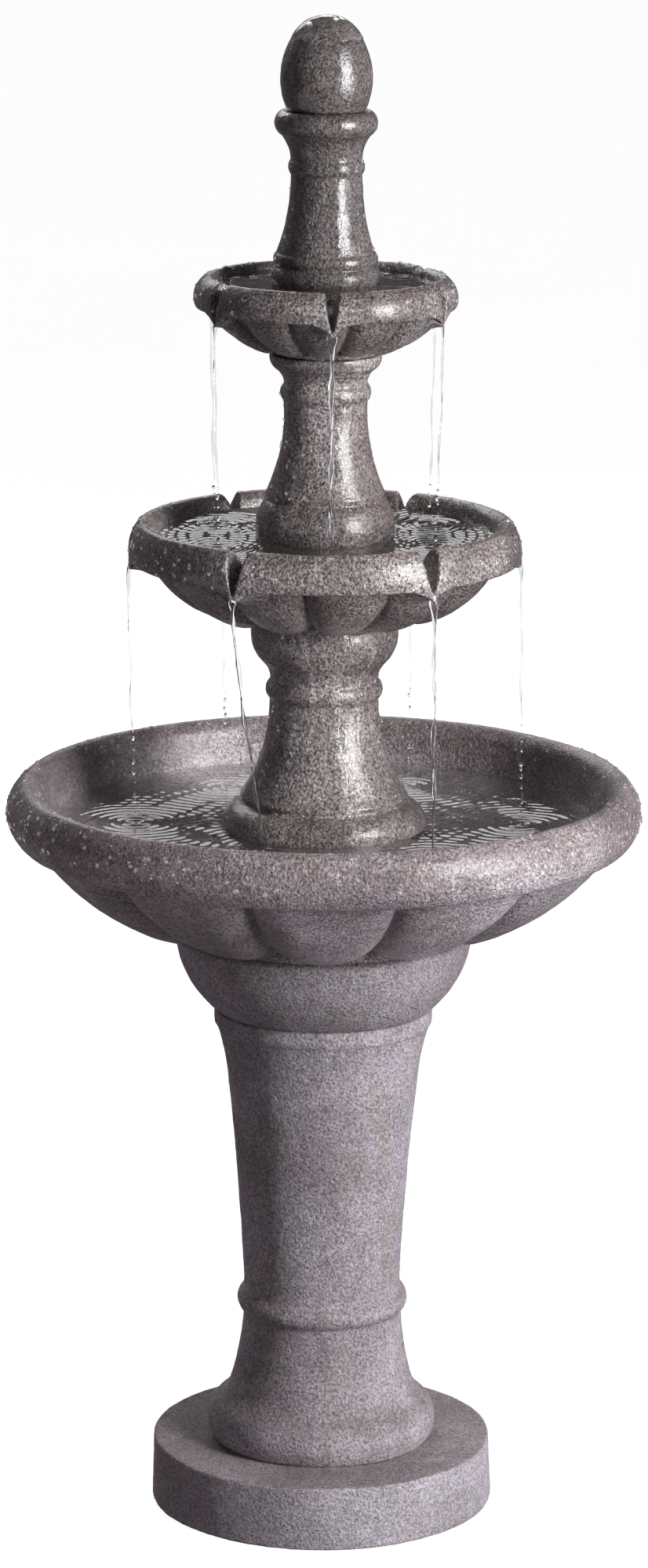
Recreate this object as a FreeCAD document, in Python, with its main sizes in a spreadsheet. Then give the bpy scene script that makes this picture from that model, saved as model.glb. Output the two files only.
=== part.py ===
import FreeCAD, Part
import math
import os

import Sketcher

# Three-tier pedestal fountain, cast in stone-effect resin.
# Frame: millimetres, origin at the centre of the plinth's underside, +Z up, front towards -Y.
# The castings stack: plinth, column and capital are bolted and bedded together, and above them
# the lower bowl, lower stem, middle bowl, middle stem, upper bowl and finial stem each rest on
# the casting below and lift straight off. A pump under the lower stem feeds one vertical hose.

DIMENSIONS = {
    # Seats: the height of each casting's resting face.
    "plinth_height": 52,
    "capital_seat": 420,
    "lower_bowl_seat": 484,
    "lower_floor": 497,
    "middle_bowl_seat": 739,
    "middle_floor": 751,
    "upper_bowl_seat": 955,
    "upper_floor": 966,
    "egg_seat": 1147,
    "overall_height": 1219,
    "casting_wall": 9,
    "spigot_depth": 8,
    "spigot_clearance": 0.5,
    # Plinth.
    "plinth_base_radius": 140.7,
    "plinth_top_radius": 138.8,
    "plinth_edge_radius": 1.2,
    "plinth_wall": 9.5,
    "plinth_passage_radius": 30,
    "bolt_circle_radius": 73,
    "bolt_radius": 4,
    "bolt_grip": 27,
    "bolt_end_room": 1,
    "bolt_head_flats": 13,
    "bolt_head_height": 5.3,
    "washer_radius": 9,
    "washer_thickness": 1.6,
    "washer_clearance": 0.2,
    "fit_clearance": 0.05,
    "cord_outlet_height": 22,
    "grommet_groove_radius": 8,
    "grommet_flange_radius": 11,
    "grommet_flange_thickness": 2.5,
    "cord_hole_radius": 3.5,
    # Pedestal column.
    "foot_underside_radius": 89.5,
    "foot_roll_radius": 24,
    "foot_roll_top_radius": 85,
    "foot_roll_top": 85,
    "foot_curve": 28,
    "foot_flare_radius": 75.8,
    "foot_flare_height": 97,
    "foot_flare_curve": 250,
    "waist_radius": 64.9,
    "ring_bottom": 160.5,
    "ring_top": 179,
    "ring_roll_radius": 11,
    "shaft_bottom_radius": 64.1,
    "shaft_bottom": 187,
    "shaft_top_radius": 77.1,
    "shaft_top": 354,
    "shaft_curve": 2350,
    "shaft_head_curve": 216,
    "collar_radius": 88.9,
    "collar_height": 15,
    "collar_edge_radius": 2,
    "column_bore_bottom": 55.5,
    "column_bore_top": 71.9,
    "column_mouth_depth": 24,
    # Capital.
    "capital_radius": 120.5,
    "capital_bottom_radius": 88,
    "capital_curve": 87.5,
    "capital_edge_drop": 6,
    "capital_edge_inset": 5.5,
    "capital_edge_roll": 6.6,
    "capital_mouth_radius": 104,
    "capital_mouth_depth": 12,
    "capital_floor_thickness": 9,
    "capital_passage_radius": 45,
    "capital_inner_floor_radius": 76,
    # Lower bowl.
    "lower_arc_r": 77.4,
    "lower_arc_z": 680.9,
    "lower_arc_radius": 200.9,
    "lower_wall": 14,
    "lower_rim_bottom": 562,
    "lower_rim_bottom_radius": 240.5,
    "lower_rim_crest_radius": 243,
    "lower_rim_crest": 607,
    "lower_rim_roll": 25,
    "lower_rim_inner_radius": 230,
    "lower_rim_inner_height": 597.5,
    "lower_rim_inner_roll": 14,
    "lower_valley_depth": 8,
    "lower_valley_half_width": 27,
    "lower_valley_flank": 50,
    "lower_valley_start_angle": 34,
    "lower_valley_end_angle": 80,
    # Middle bowl.
    "middle_arc_r": 58.2,
    "middle_arc_z": 831.5,
    "middle_arc_radius": 92.7,
    "middle_wall": 11,
    "middle_rim_bottom": 788.5,
    "middle_rim_bottom_radius": 143,
    "middle_rim_crest_radius": 148,
    "middle_rim_crest": 820,
    "middle_rim_roll": 16.5,
    "middle_rim_inner_radius": 136.5,
    "middle_rim_inner_height": 812,
    "middle_rim_inner_roll": 11,
    "middle_valley_depth": 5.5,
    "middle_valley_half_width": 17,
    "middle_valley_flank": 28,
    "middle_valley_start_angle": 26,
    "middle_valley_end_angle": 84,
    # Upper bowl.
    "upper_arc_r": 26.5,
    "upper_arc_z": 1036.5,
    "upper_arc_radius": 83.1,
    "upper_wall": 9,
    "upper_rim_bottom": 992,
    "upper_rim_bottom_radius": 97.3,
    "upper_rim_crest_radius": 94,
    "upper_rim_crest": 1017,
    "upper_rim_roll": 14,
    "upper_rim_inner_radius": 86,
    "upper_rim_inner_height": 1011,
    "upper_rim_inner_roll": 8,
    "upper_valley_depth": 4.5,
    "upper_valley_half_width": 12,
    "upper_valley_flank": 18,
    "upper_valley_start_angle": 30,
    "upper_valley_end_angle": 76,
    # Lobes and spouts of the bowls.
    "lobes": 12,
    "spouts": 6,
    "lower_lobe_turn": 0,
    "middle_lobe_turn": 8.2,
    "upper_lobe_turn": -3,
    "spout_turn": 2.7,
    "spout_slope": 35,
    "middle_lip_radius": 156,
    "middle_lip_height": 785,
    "middle_notch_half_width": 11,
    "upper_lip_radius": 102,
    "upper_lip_height": 986.5,
    "upper_notch_half_width": 7.7,
    "lip_thickness": 4.5,
    "lip_shoulder": 3.15,
    "lip_base_half_width": 3.6,
    "spout_reach": 45,
    "lip_reach": 24,
    "socket_end_clearance": 2,
    "lower_spigot_radius": 103.5,
    "middle_spigot_radius": 30,
    "upper_spigot_radius": 22,
    # Lower stem.
    "lower_foot_radius": 74,
    "lower_base_roll_bottom": 557,
    "lower_base_roll_top": 590,
    "lower_base_top_radius": 69,
    "lower_base_roll": 18.2,
    "lower_crease_radius": 65.8,
    "lower_crease": 591.5,
    "lower_flare_bottom_radius": 67.4,
    "lower_flare_bottom": 596,
    "lower_neck_radius": 43.8,
    "lower_neck": 668,
    "lower_flare_curve": 140,
    "lower_ring_bottom": 676,
    "lower_ring_top": 691,
    "lower_ring_roll": 9.6,
    "lower_head_flare": 19.2,
    "lower_head_bottom_radius": 50,
    "lower_head_bottom": 706,
    "lower_head_top_radius": 57.5,
    "lower_head_roll": 30.5,
    "pump_well_radius": 64,
    "pump_well_top": 566,
    "well_cone_radius": 36,
    "well_cone_top": 645,
    "well_throat": 655,
    "inlet_arch_half_width": 12,
    "inlet_arch_side_height": 8,
    "inlet_arch_roll": 15.6,
    # Middle stem.
    "middle_foot_radius": 50,
    "middle_base_roll_bottom": 797,
    "middle_base_roll_top": 836.5,
    "middle_base_top_radius": 49,
    "middle_base_roll": 33.2,
    "middle_crease_radius": 46.6,
    "middle_crease": 838.5,
    "middle_flare_bottom_radius": 47.8,
    "middle_flare_bottom": 843,
    "middle_neck_radius": 33,
    "middle_neck": 912,
    "middle_flare_curve": 165,
    "middle_ring_bottom": 917,
    "middle_ring_top": 931,
    "middle_ring_roll": 9.9,
    "middle_head_flare": 15.8,
    "middle_head_bottom_radius": 38,
    "middle_head_bottom": 942,
    "middle_head_top_radius": 44,
    "middle_head_roll": 12,
    "middle_well_radius": 38,
    "middle_well_top": 800,
    "middle_cone_top": 850,
    # Finial stem and egg.
    "finial_foot_radius": 37,
    "finial_base_roll_bottom": 1007,
    "finial_base_roll_top": 1025,
    "finial_base_top_radius": 39,
    "finial_base_roll": 10.8,
    "finial_step_radius": 40,
    "finial_step_top": 1034.5,
    "finial_step_roll": 7.3,
    "finial_step_bevel": 1,
    "finial_flare_bottom_radius": 38.8,
    "finial_neck_radius": 29.3,
    "finial_neck": 1078,
    "finial_flare_curve": 149,
    "finial_ring_radius": 28.5,
    "finial_ring_bottom": 1097,
    "finial_ring_top": 1109,
    "finial_ring_roll": 9.3,
    "collar_underside_radius": 35.5,
    "collar_underside": 1128,
    "collar_flare": 31.4,
    "collar_roll": 11.2,
    "finial_well_radius": 27.5,
    "finial_well_top": 990,
    "finial_cone_top": 1012,
    "finial_bore_radius": 9,
    "egg_socket_radius": 26,
    "egg_base_radius": 30.4,
    "egg_radius": 36.2,
    "egg_waist": 1173,
    "egg_side_curve": 61.4,
    "egg_shoulder_radius": 28.4,
    "egg_shoulder": 1203,
    "egg_cap_curve": 29,
    "egg_mouth_radius": 7,
    "egg_mouth_wall": 0.5,
    "egg_spigot_gap": 0.5,
    # Hose, seals and outlet.
    "hose_radius": 7,
    "hose_bore_radius": 5,
    "hose_top": 1200,
    "hose_clearance": 0.4,
    "stem_bore_radius": 12,
    "hub_bore_radius": 13,
    "seal_flange_radius": 17,
    "seal_flange_thickness": 3,
    "outlet_hole_radius": 4,
    "outlet_bottom": 1204,
    "outlet_proud": 0.4,
    "outlet_end_room": 1,
    # Fittings in the lower bowl's floor.
    "locating_ring_height": 4,
    "locating_ring_width": 5,
    "floor_hole_radius": 8,
    "floor_hole_x": 79,
    "floor_hole_y": 38,
    "plug_flange_radius": 12,
    "plug_flange_thickness": 3,
    "plug_pull_radius": 4,
    "plug_pull_height": 9,
    # Pump: a small submersible pump, its shaft along Y and its outlet straight up.
    "pump_feet_height": 7,
    "pump_half_width": 22,
    "pump_height": 44,
    "pump_edge_radius": 4,
    "casing_front": 9,
    "casing_back": 58,
    "casing_wall": 2,
    "core_front_gap": 2,
    "rotor_well_radius": 11,
    "rotor_well_wall": 1,
    "rotor_well_depth": 34,
    "volute_radius": 21,
    "volute_wall": 2,
    "volute_front": -9,
    "nozzle_radius": 4.95,
    "nozzle_bore_radius": 3.6,
    "nozzle_length": 20,
    "hose_push_on": 14,
    "shaft_radius": 1.5,
    "magnet_radius": 9.5,
    "magnet_length": 28,
    "impeller_radius": 15,
    "impeller_thickness": 3,
    "impeller_blade_height": 7,
    "impeller_blades": 6,
    "impeller_blade_thickness": 1.4,
    "impeller_hub_radius": 4.5,
    "bush_radius": 4,
    "bush_length": 3,
    "bush_seat_wall": 1,
    "running_clearance": 0.05,
    "strainer_front": -25,
    "strainer_slot_width": 2.4,
    "strainer_slot_height": 26,
    "strainer_slots": 7,
    "dial_radius": 9,
    "dial_thickness": 4,
    "dial_grip_half_length": 7.2,
    "dial_grip_thickness": 3,
    "dial_gap": 0.4,
    "spindle_radius": 2,
    "shutter_radius": 10.5,
    "shutter_thickness": 1.6,
    "inlet_hole_radius": 2.6,
    "inlet_hole_circle": 7.2,
    "inlet_holes": 4,
    "suction_cup_radius": 7,
    "suction_cup_neck": 3,
    "pump_foot_x": 14,
    "pump_foot_front_inset": 8,
    "pump_foot_back_inset": 12,
    "core_half_width": 17,
    "core_limb": 4,
    "core_half_height": 7,
    "yoke_front": 47.5,
    "yoke_back": 52.5,
    "coil_half_width": 10.5,
    "coil_margin": 2.5,
    "gland_radius": 4,
    "gland_length": 4,
    "gland_hole_radius": 2.5,
}

doc = FreeCAD.newDocument("tiered_fountain")
sheet = doc.addObject("Spreadsheet::Sheet", "Dims")
for row, (alias, value) in enumerate(DIMENSIONS.items(), 1):
    sheet.set(f"A{row}", alias)
    sheet.set(f"B{row}", str(value))
    sheet.setAlias(f"B{row}", alias)
doc.recompute()


class Size:
    """A number kept together with the spreadsheet expression that gives it."""

    def __init__(self, value, text):
        self.value = float(value)
        self.text = text

    def __add__(self, other):
        other = as_size(other)
        return Size(self.value + other.value, f"({self.text} + {other.text})")

    def __sub__(self, other):
        other = as_size(other)
        return Size(self.value - other.value, f"({self.text} - {other.text})")

    def __rsub__(self, other):
        return as_size(other) - self

    def __mul__(self, other):
        other = as_size(other)
        return Size(self.value * other.value, f"({self.text} * {other.text})")

    def __truediv__(self, other):
        other = as_size(other)
        return Size(self.value / other.value, f"({self.text} / {other.text})")

    def __neg__(self):
        return Size(-self.value, f"(0 - {self.text})")

    __radd__ = __add__
    __rmul__ = __mul__


def as_size(number):
    """A plain number becomes a Size whose expression is that number."""
    return number if isinstance(number, Size) else Size(number, f"({float(number)!r})")


def root(size):
    """Square root of a Size."""
    return Size(math.sqrt(size.value), f"sqrt({size.text})")


def dim(alias):
    """The spreadsheet's cell of this name."""
    return Size(DIMENSIONS[alias], f"Dims.{alias}")


def bind(thing, path, size):
    """Sets a property from a spreadsheet expression."""
    thing.setExpression(path, as_size(size).text)


# Sketches


def origin_feature(body, role):
    """The body's own origin plane or axis with this role."""
    return next(item for item in body.Origin.OriginFeatures if item.Role == role)


def new_sketch(body, name, role="XZ_Plane"):
    """A sketch on one of the body's own origin planes."""
    sketch = body.newObject("Sketcher::SketchObject", name)
    sketch.AttachmentSupport = [(origin_feature(body, role), "")]
    sketch.MapMode = "FlatFace"
    return sketch


def fix_coordinate(sketch, kind, axis, geometry, end, size):
    """Holds one coordinate of a point at a spreadsheet size, or on the axis where it is 0."""
    if size.value == 0:
        sketch.addConstraint(Sketcher.Constraint("PointOnObject", geometry, end, axis))
        return
    index = sketch.addConstraint(
        Sketcher.Constraint(kind, -1, 1, geometry, end, size.value)
    )
    bind(sketch, f"Constraints[{index}]", size)


def arc_centre(start, end, radius):
    """Centre of the minor arc: left of the way from start to end where radius is positive."""
    across, up = end[0] - start[0], end[1] - start[1]
    chord = math.hypot(across, up)
    reach = math.copysign(math.sqrt(radius * radius - chord * chord / 4), radius)
    return (
        (start[0] + end[0]) / 2 - up / chord * reach,
        (start[1] + end[1]) / 2 + across / chord * reach,
    )


def outline(sketch, corners):
    """A closed outline. Each corner is (across, up), or (across, up, radius) where an arc
    starts there: a positive radius bulges out of an outline drawn anticlockwise."""
    corners = [tuple(as_size(item) for item in corner) for corner in corners]
    ends = []
    for corner, following in zip(corners, corners[1:] + corners[:1]):
        start = (corner[0].value, corner[1].value)
        end = (following[0].value, following[1].value)
        if len(corner) == 2:
            edge = Part.LineSegment(FreeCAD.Vector(*start, 0), FreeCAD.Vector(*end, 0))
            ends.append((sketch.addGeometry(edge, False), 1, 2))
            continue
        radius = corner[2]
        centre = arc_centre(start, end, radius.value)
        first, last = (start, end) if radius.value > 0 else (end, start)
        angles = [math.atan2(p[1] - centre[1], p[0] - centre[0]) for p in (first, last)]
        circle = Part.Circle(
            FreeCAD.Vector(*centre, 0), FreeCAD.Vector(0, 0, 1), abs(radius.value)
        )
        arc = Part.ArcOfCircle(circle, angles[0], angles[1])
        index = sketch.addGeometry(arc, False)
        ends.append((index, 1, 2) if radius.value > 0 else (index, 2, 1))
    for (edge, _, end), (following, start, _) in zip(ends, ends[1:] + ends[:1]):
        sketch.addConstraint(Sketcher.Constraint("Coincident", edge, end, following, start))
    for (edge, start, _), corner in zip(ends, corners):
        fix_coordinate(sketch, "DistanceX", -2, edge, start, corner[0])
        fix_coordinate(sketch, "DistanceY", -1, edge, start, corner[1])
        if len(corner) == 3:
            size = corner[2] if corner[2].value > 0 else -corner[2]
            index = sketch.addConstraint(Sketcher.Constraint("Radius", edge, size.value))
            bind(sketch, f"Constraints[{index}]", size)
    return sketch


def circle(sketch, across, up, radius):
    """A circle at a fixed place."""
    across, up, radius = as_size(across), as_size(up), as_size(radius)
    middle = FreeCAD.Vector(across.value, up.value, 0)
    index = sketch.addGeometry(
        Part.Circle(middle, FreeCAD.Vector(0, 0, 1), radius.value), False
    )
    fix_coordinate(sketch, "DistanceX", -2, index, 3, across)
    fix_coordinate(sketch, "DistanceY", -1, index, 3, up)
    constraint = sketch.addConstraint(Sketcher.Constraint("Radius", index, radius.value))
    bind(sketch, f"Constraints[{constraint}]", radius)
    return sketch


# Features of a body


def new_body(label):
    return doc.addObject("PartDesign::Body", label)


def turn(body, name, corners):
    """Turns a half section about the vertical axis and adds it to the body."""
    sketch = outline(new_sketch(body, f"{name}_section"), corners)
    feature = body.newObject("PartDesign::Revolution", f"{name}_turned")
    feature.Profile = sketch
    feature.ReferenceAxis = (sketch, ["V_Axis"])
    feature.Angle = 360
    sketch.Visibility = False
    doc.recompute()
    return feature


def repeat(body, feature, count):
    """Repeats a feature evenly about the vertical axis."""
    pattern = body.newObject("PartDesign::PolarPattern", f"{feature.Name}_pattern")
    pattern.Originals = [feature]
    pattern.Axis = (origin_feature(body, "Z_Axis"), [""])
    pattern.Angle = 360
    bind(pattern, "Occurrences", count)
    body.Tip = pattern
    doc.recompute()
    return pattern


def expect_less(body, volume, name):
    """Raises if a cut took nothing away."""
    doc.recompute()
    if body.Shape.Volume > volume - 1:
        raise RuntimeError(f"{name} cuts nothing")


def expect_more(body, volume, name):
    """Raises if an added feature added nothing."""
    doc.recompute()
    if body.Shape.Volume < volume + 1:
        raise RuntimeError(f"{name} adds nothing")


def pocket(body, name, sketch, depth, reverse=False):
    """Cuts the sketch into the body, against its normal unless reversed."""
    before = body.Shape.Volume
    feature = body.newObject("PartDesign::Pocket", name)
    feature.Profile = sketch
    feature.Type = "Length"
    bind(feature, "Length", depth)
    feature.Reversed = reverse
    expect_less(body, before, name)
    return feature


def pad(body, name, sketch, depth, reverse=False):
    """Raises the sketch from its plane, along its normal unless reversed."""
    feature = body.newObject("PartDesign::Pad", name)
    feature.Profile = sketch
    bind(feature, "Length", depth)
    feature.Reversed = reverse
    doc.recompute()
    return feature


def offset_sketch(sketch, x=0, y=0, z=0, rotation=FreeCAD.Rotation()):
    """Moves and turns a sketch off its plane, in the plane's own frame."""
    sketch.AttachmentOffset = FreeCAD.Placement(FreeCAD.Vector(), rotation)
    for letter, size in zip("xyz", (x, y, z)):
        bind(sketch, f"AttachmentOffset.Base.{letter}", size)
    return sketch


X_AXIS = FreeCAD.Vector(1, 0, 0)
Y_AXIS = FreeCAD.Vector(0, 1, 0)
Z_AXIS = FreeCAD.Vector(0, 0, 1)
FRONT = -90  # the direction of -Y, in degrees from +X

# Solids from Part's primitives, for the pump and the small fittings


def place(item, x=0, y=0, z=0, rotation=None):
    """Puts a primitive at a place bound to the spreadsheet."""
    if rotation is not None:
        item.Placement = FreeCAD.Placement(FreeCAD.Vector(), rotation)
    for letter, size in zip("xyz", (x, y, z)):
        bind(item, f"Placement.Base.{letter}", size)
    return item


def cylinder(name, radius, height, x=0, y=0, z=0, rotation=None):
    item = doc.addObject("Part::Cylinder", name)
    bind(item, "Radius", radius)
    bind(item, "Height", height)
    return place(item, x, y, z, rotation)


def box(name, length, width, height, x=0, y=0, z=0, rotation=None):
    item = doc.addObject("Part::Box", name)
    bind(item, "Length", length)
    bind(item, "Width", width)
    bind(item, "Height", height)
    return place(item, x, y, z, rotation)


def cut(name, base, tool):
    item = doc.addObject("Part::Cut", name)
    item.Base = base
    item.Tool = tool
    doc.recompute()
    if item.Shape.Volume > base.Shape.Volume - 0.1:
        raise RuntimeError(f"{name} cuts nothing")
    return item


def fuse(name, *items):
    item = doc.addObject("Part::MultiFuse", name)
    item.Shapes = list(items)
    doc.recompute()
    return item


def group(name, *items):
    """Separate solids that make one node."""
    item = doc.addObject("Part::Compound", name)
    item.Links = list(items)
    doc.recompute()
    return item


ALONG_Y = FreeCAD.Rotation(X_AXIS, -90)


# Plinth, column, capital and what holds them together


def make_plinth():
    base_radius, top_radius = dim("plinth_base_radius"), dim("plinth_top_radius")
    height, edge, wall = dim("plinth_height"), dim("plinth_edge_radius"), dim("plinth_wall")
    passage = dim("plinth_passage_radius")
    body = new_body("plinth")
    turn(body, "plinth", [
        (base_radius - wall, 0),
        (base_radius, 0),
        (top_radius, height - edge, edge),
        (top_radius - edge, height),
        (passage, height),
        (passage, height - wall),
        (top_radius - wall, height - wall),
    ])
    holes = new_sketch(body, "bolt_hole", "XY_Plane")
    circle(holes, 0, dim("bolt_circle_radius"), dim("bolt_radius"))
    repeat(body, pocket(body, "plinth_bolt_hole", holes, height * 2, True), 3)
    outlet = circle(new_sketch(body, "cord_outlet"), 0, dim("cord_outlet_height"),
                    dim("grommet_groove_radius"))
    body.Tip = pocket(body, "plinth_cord_outlet", outlet, base_radius * 2)
    return body


def make_column():
    foot, seat = dim("plinth_height"), dim("capital_seat")
    waist, collar = dim("waist_radius"), dim("collar_radius")
    edge = dim("collar_edge_radius")
    body = new_body("pedestal_column")
    turn(body, "column", [
        (dim("column_bore_bottom"), foot),
        (dim("foot_underside_radius"), foot, dim("foot_roll_radius")),
        (dim("foot_roll_top_radius"), dim("foot_roll_top"), -dim("foot_curve")),
        (dim("foot_flare_radius"), dim("foot_flare_height"), -dim("foot_flare_curve")),
        (waist, dim("ring_bottom"), dim("ring_roll_radius")),
        (waist, dim("ring_top")),
        (dim("shaft_bottom_radius"), dim("shaft_bottom"), -dim("shaft_curve")),
        (dim("shaft_top_radius"), dim("shaft_top"), -dim("shaft_head_curve")),
        (collar - edge, seat - dim("collar_height")),
        (collar, seat - dim("collar_height") + edge),
        (collar, seat - edge, edge),
        (collar - edge, seat),
        (dim("column_bore_top"), seat),
        (dim("column_bore_top"), seat - dim("column_mouth_depth")),
        (dim("column_bore_bottom"), dim("ring_top")),
    ])
    holes = new_sketch(body, "threaded_hole", "XY_Plane")
    offset_sketch(holes, z=foot)
    circle(holes, 0, dim("bolt_circle_radius"), dim("bolt_radius"))
    depth = dim("bolt_grip") - dim("plinth_wall") + dim("bolt_end_room")
    repeat(body, pocket(body, "column_threaded_hole", holes, depth, True), 3)
    return body


def make_capital():
    seat, top = dim("capital_seat"), dim("lower_bowl_seat")
    radius, mouth = dim("capital_radius"), dim("capital_mouth_radius")
    floor = seat + dim("capital_floor_thickness")
    spigot = dim("column_bore_top") - dim("spigot_clearance")
    wall = dim("casting_wall")
    body = new_body("pedestal_capital")
    turn(body, "capital", [
        (spigot - wall, seat - dim("spigot_depth")),
        (spigot, seat - dim("spigot_depth")),
        (spigot, seat),
        (dim("capital_bottom_radius"), seat, dim("capital_curve")),
        (radius, top - dim("capital_edge_drop"), dim("capital_edge_roll")),
        (radius - dim("capital_edge_inset"), top),
        (mouth, top),
        (mouth, top - dim("capital_mouth_depth"), -(dim("capital_curve") - wall)),
        (dim("capital_inner_floor_radius"), floor),
        (dim("capital_passage_radius"), floor),
        (dim("capital_passage_radius"), seat),
        (spigot - wall, seat),
    ])
    return body


def make_bolts():
    """Three hex bolts that clamp the column to the plinth from below, and their washers."""
    under_plate = dim("plinth_height") - dim("plinth_wall")
    washer = dim("washer_thickness")
    head = dim("bolt_head_height")
    shank = dim("bolt_radius") - dim("fit_clearance")
    bolts, washers = [], []
    for number in range(3):
        angle = math.radians(90 + 120 * number)
        x = dim("bolt_circle_radius") * math.cos(angle)
        y = dim("bolt_circle_radius") * math.sin(angle)
        hexagon = doc.addObject("Part::Prism", f"bolt_head_{number}")
        hexagon.Polygon = 6
        bind(hexagon, "Circumradius", dim("bolt_head_flats") / math.sqrt(3))
        bind(hexagon, "Height", head)
        place(hexagon, x, y, under_plate - washer - head)
        rod = cylinder(f"bolt_shank_{number}", shank, dim("bolt_grip") + washer,
                       x, y, under_plate - washer)
        bolts.append(fuse(f"bolt_{number}", hexagon, rod))
        disc = cylinder(f"washer_disc_{number}", dim("washer_radius"), washer,
                        x, y, under_plate - washer)
        hole = cylinder(f"washer_hole_{number}", dim("bolt_radius") + dim("washer_clearance"), washer,
                        x, y, under_plate - washer)
        washers.append(cut(f"washer_{number}", disc, hole))
    return [group("plinth_bolts", *bolts), group("plinth_washers", *washers)]


def make_plinth_grommet():
    """The rubber grommet in the plinth's rear wall, where a pump's lead would leave."""
    outer = dim("plinth_base_radius")
    height = dim("cord_outlet_height")
    flange = dim("grommet_flange_thickness")
    body_radius = dim("grommet_groove_radius")
    start = outer - dim("plinth_wall") - flange * 2
    length = dim("plinth_wall") + flange * 3
    sleeve = cylinder("grommet_sleeve", body_radius, length, 0, start, height, ALONG_Y)
    collar = cylinder("grommet_collar", dim("grommet_flange_radius"), flange,
                      0, outer, height, ALONG_Y)
    inner = cylinder("grommet_inner_collar", dim("grommet_flange_radius"), flange,
                     0, start, height, ALONG_Y)
    hole = cylinder("grommet_hole", dim("cord_hole_radius"), length, 0, start, height, ALONG_Y)
    return cut("plinth_cord_grommet", fuse("grommet_solid", sleeve, collar, inner), hole)


# The bowls


class Tier:
    """The sizes of one bowl, read from the cells that start with its name."""

    def __init__(self, name):
        self.name = name
        self.seat = dim(f"{name}_bowl_seat")
        self.floor = dim(f"{name}_floor")
        self.arc_r = dim(f"{name}_arc_r")
        self.arc_z = dim(f"{name}_arc_z")
        self.arc_radius = dim(f"{name}_arc_radius")
        self.inner_radius = self.arc_radius - dim(f"{name}_wall")
        self.rim_bottom = dim(f"{name}_rim_bottom")
        self.lobe_turn = dim(f"{name}_lobe_turn")
        self.spigot = dim(f"{name}_spigot_radius")

    def rim(self, what):
        return dim(f"{self.name}_rim_{what}")

    def valley(self, what):
        return dim(f"{self.name}_valley_{what}")

    def wall_at(self, height, radius):
        """How far from the axis the wall's arc of this radius is at a height."""
        drop = self.arc_z - height
        return self.arc_r + root(radius * radius - drop * drop)


def make_dish(body, tier, hub, boss):
    """The bowl below its rim: the hub's underside, an arc outside and an arc inside, and the
    boss on the floor that centres the stem above."""
    top = tier.rim_bottom
    turn(body, f"{tier.name}_dish", hub + [
        (tier.wall_at(tier.seat, tier.arc_radius), tier.seat, tier.arc_radius),
        (tier.wall_at(top, tier.arc_radius), top),
        (tier.wall_at(top, tier.inner_radius), top, -tier.inner_radius),
        (tier.wall_at(tier.floor, tier.inner_radius), tier.floor),
    ] + boss)


def carve_lobes(body, tier):
    """Parts the dish's underside into lobes. Each valley is a ring cut that follows the
    underside's arc, and its two convex flanks round the lobes on either side."""
    start, end = tier.valley("start_angle"), tier.valley("end_angle")
    aim = FRONT + tier.lobe_turn.value + 180 / DIMENSIONS["lobes"]
    spin = FreeCAD.Rotation(Z_AXIS, aim)
    dip = FreeCAD.Rotation(Y_AXIS, (start.value + end.value) / 2)
    sketch = new_sketch(body, f"{tier.name}_valley", "XY_Plane")
    offset_sketch(sketch, tier.arc_r * math.cos(math.radians(aim)),
                  tier.arc_r * math.sin(math.radians(aim)), tier.arc_z, spin * dip)
    apex = tier.arc_radius - tier.valley("depth")
    brow = tier.arc_radius + tier.valley("depth") / 3
    half_width, flank = tier.valley("half_width"), tier.valley("flank")
    outline(sketch, [
        (apex, 0, -flank),
        (brow, -half_width),
        (brow, half_width, -flank),
    ])
    before = body.Shape.Volume
    groove = body.newObject("PartDesign::Groove", f"{tier.name}_valley_cut")
    groove.Profile = sketch
    groove.ReferenceAxis = (sketch, ["V_Axis"])
    groove.Midplane = True
    bind(groove, "Angle", end - start)
    expect_less(body, before, groove.Name)
    return repeat(body, groove, dim("lobes"))


def add_rim(body, tier):
    """The rolled rim on top of the dish."""
    top = tier.rim_bottom
    before = body.Shape.Volume
    feature = turn(body, f"{tier.name}_rim", [
        (tier.wall_at(top, tier.inner_radius), top),
        (tier.rim("bottom_radius"), top, tier.rim("roll")),
        (tier.rim("crest_radius"), tier.rim("crest"), tier.rim("inner_roll")),
        (tier.rim("inner_radius"), tier.rim("inner_height")),
    ])
    expect_more(body, before, feature.Name)
    return feature


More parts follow.
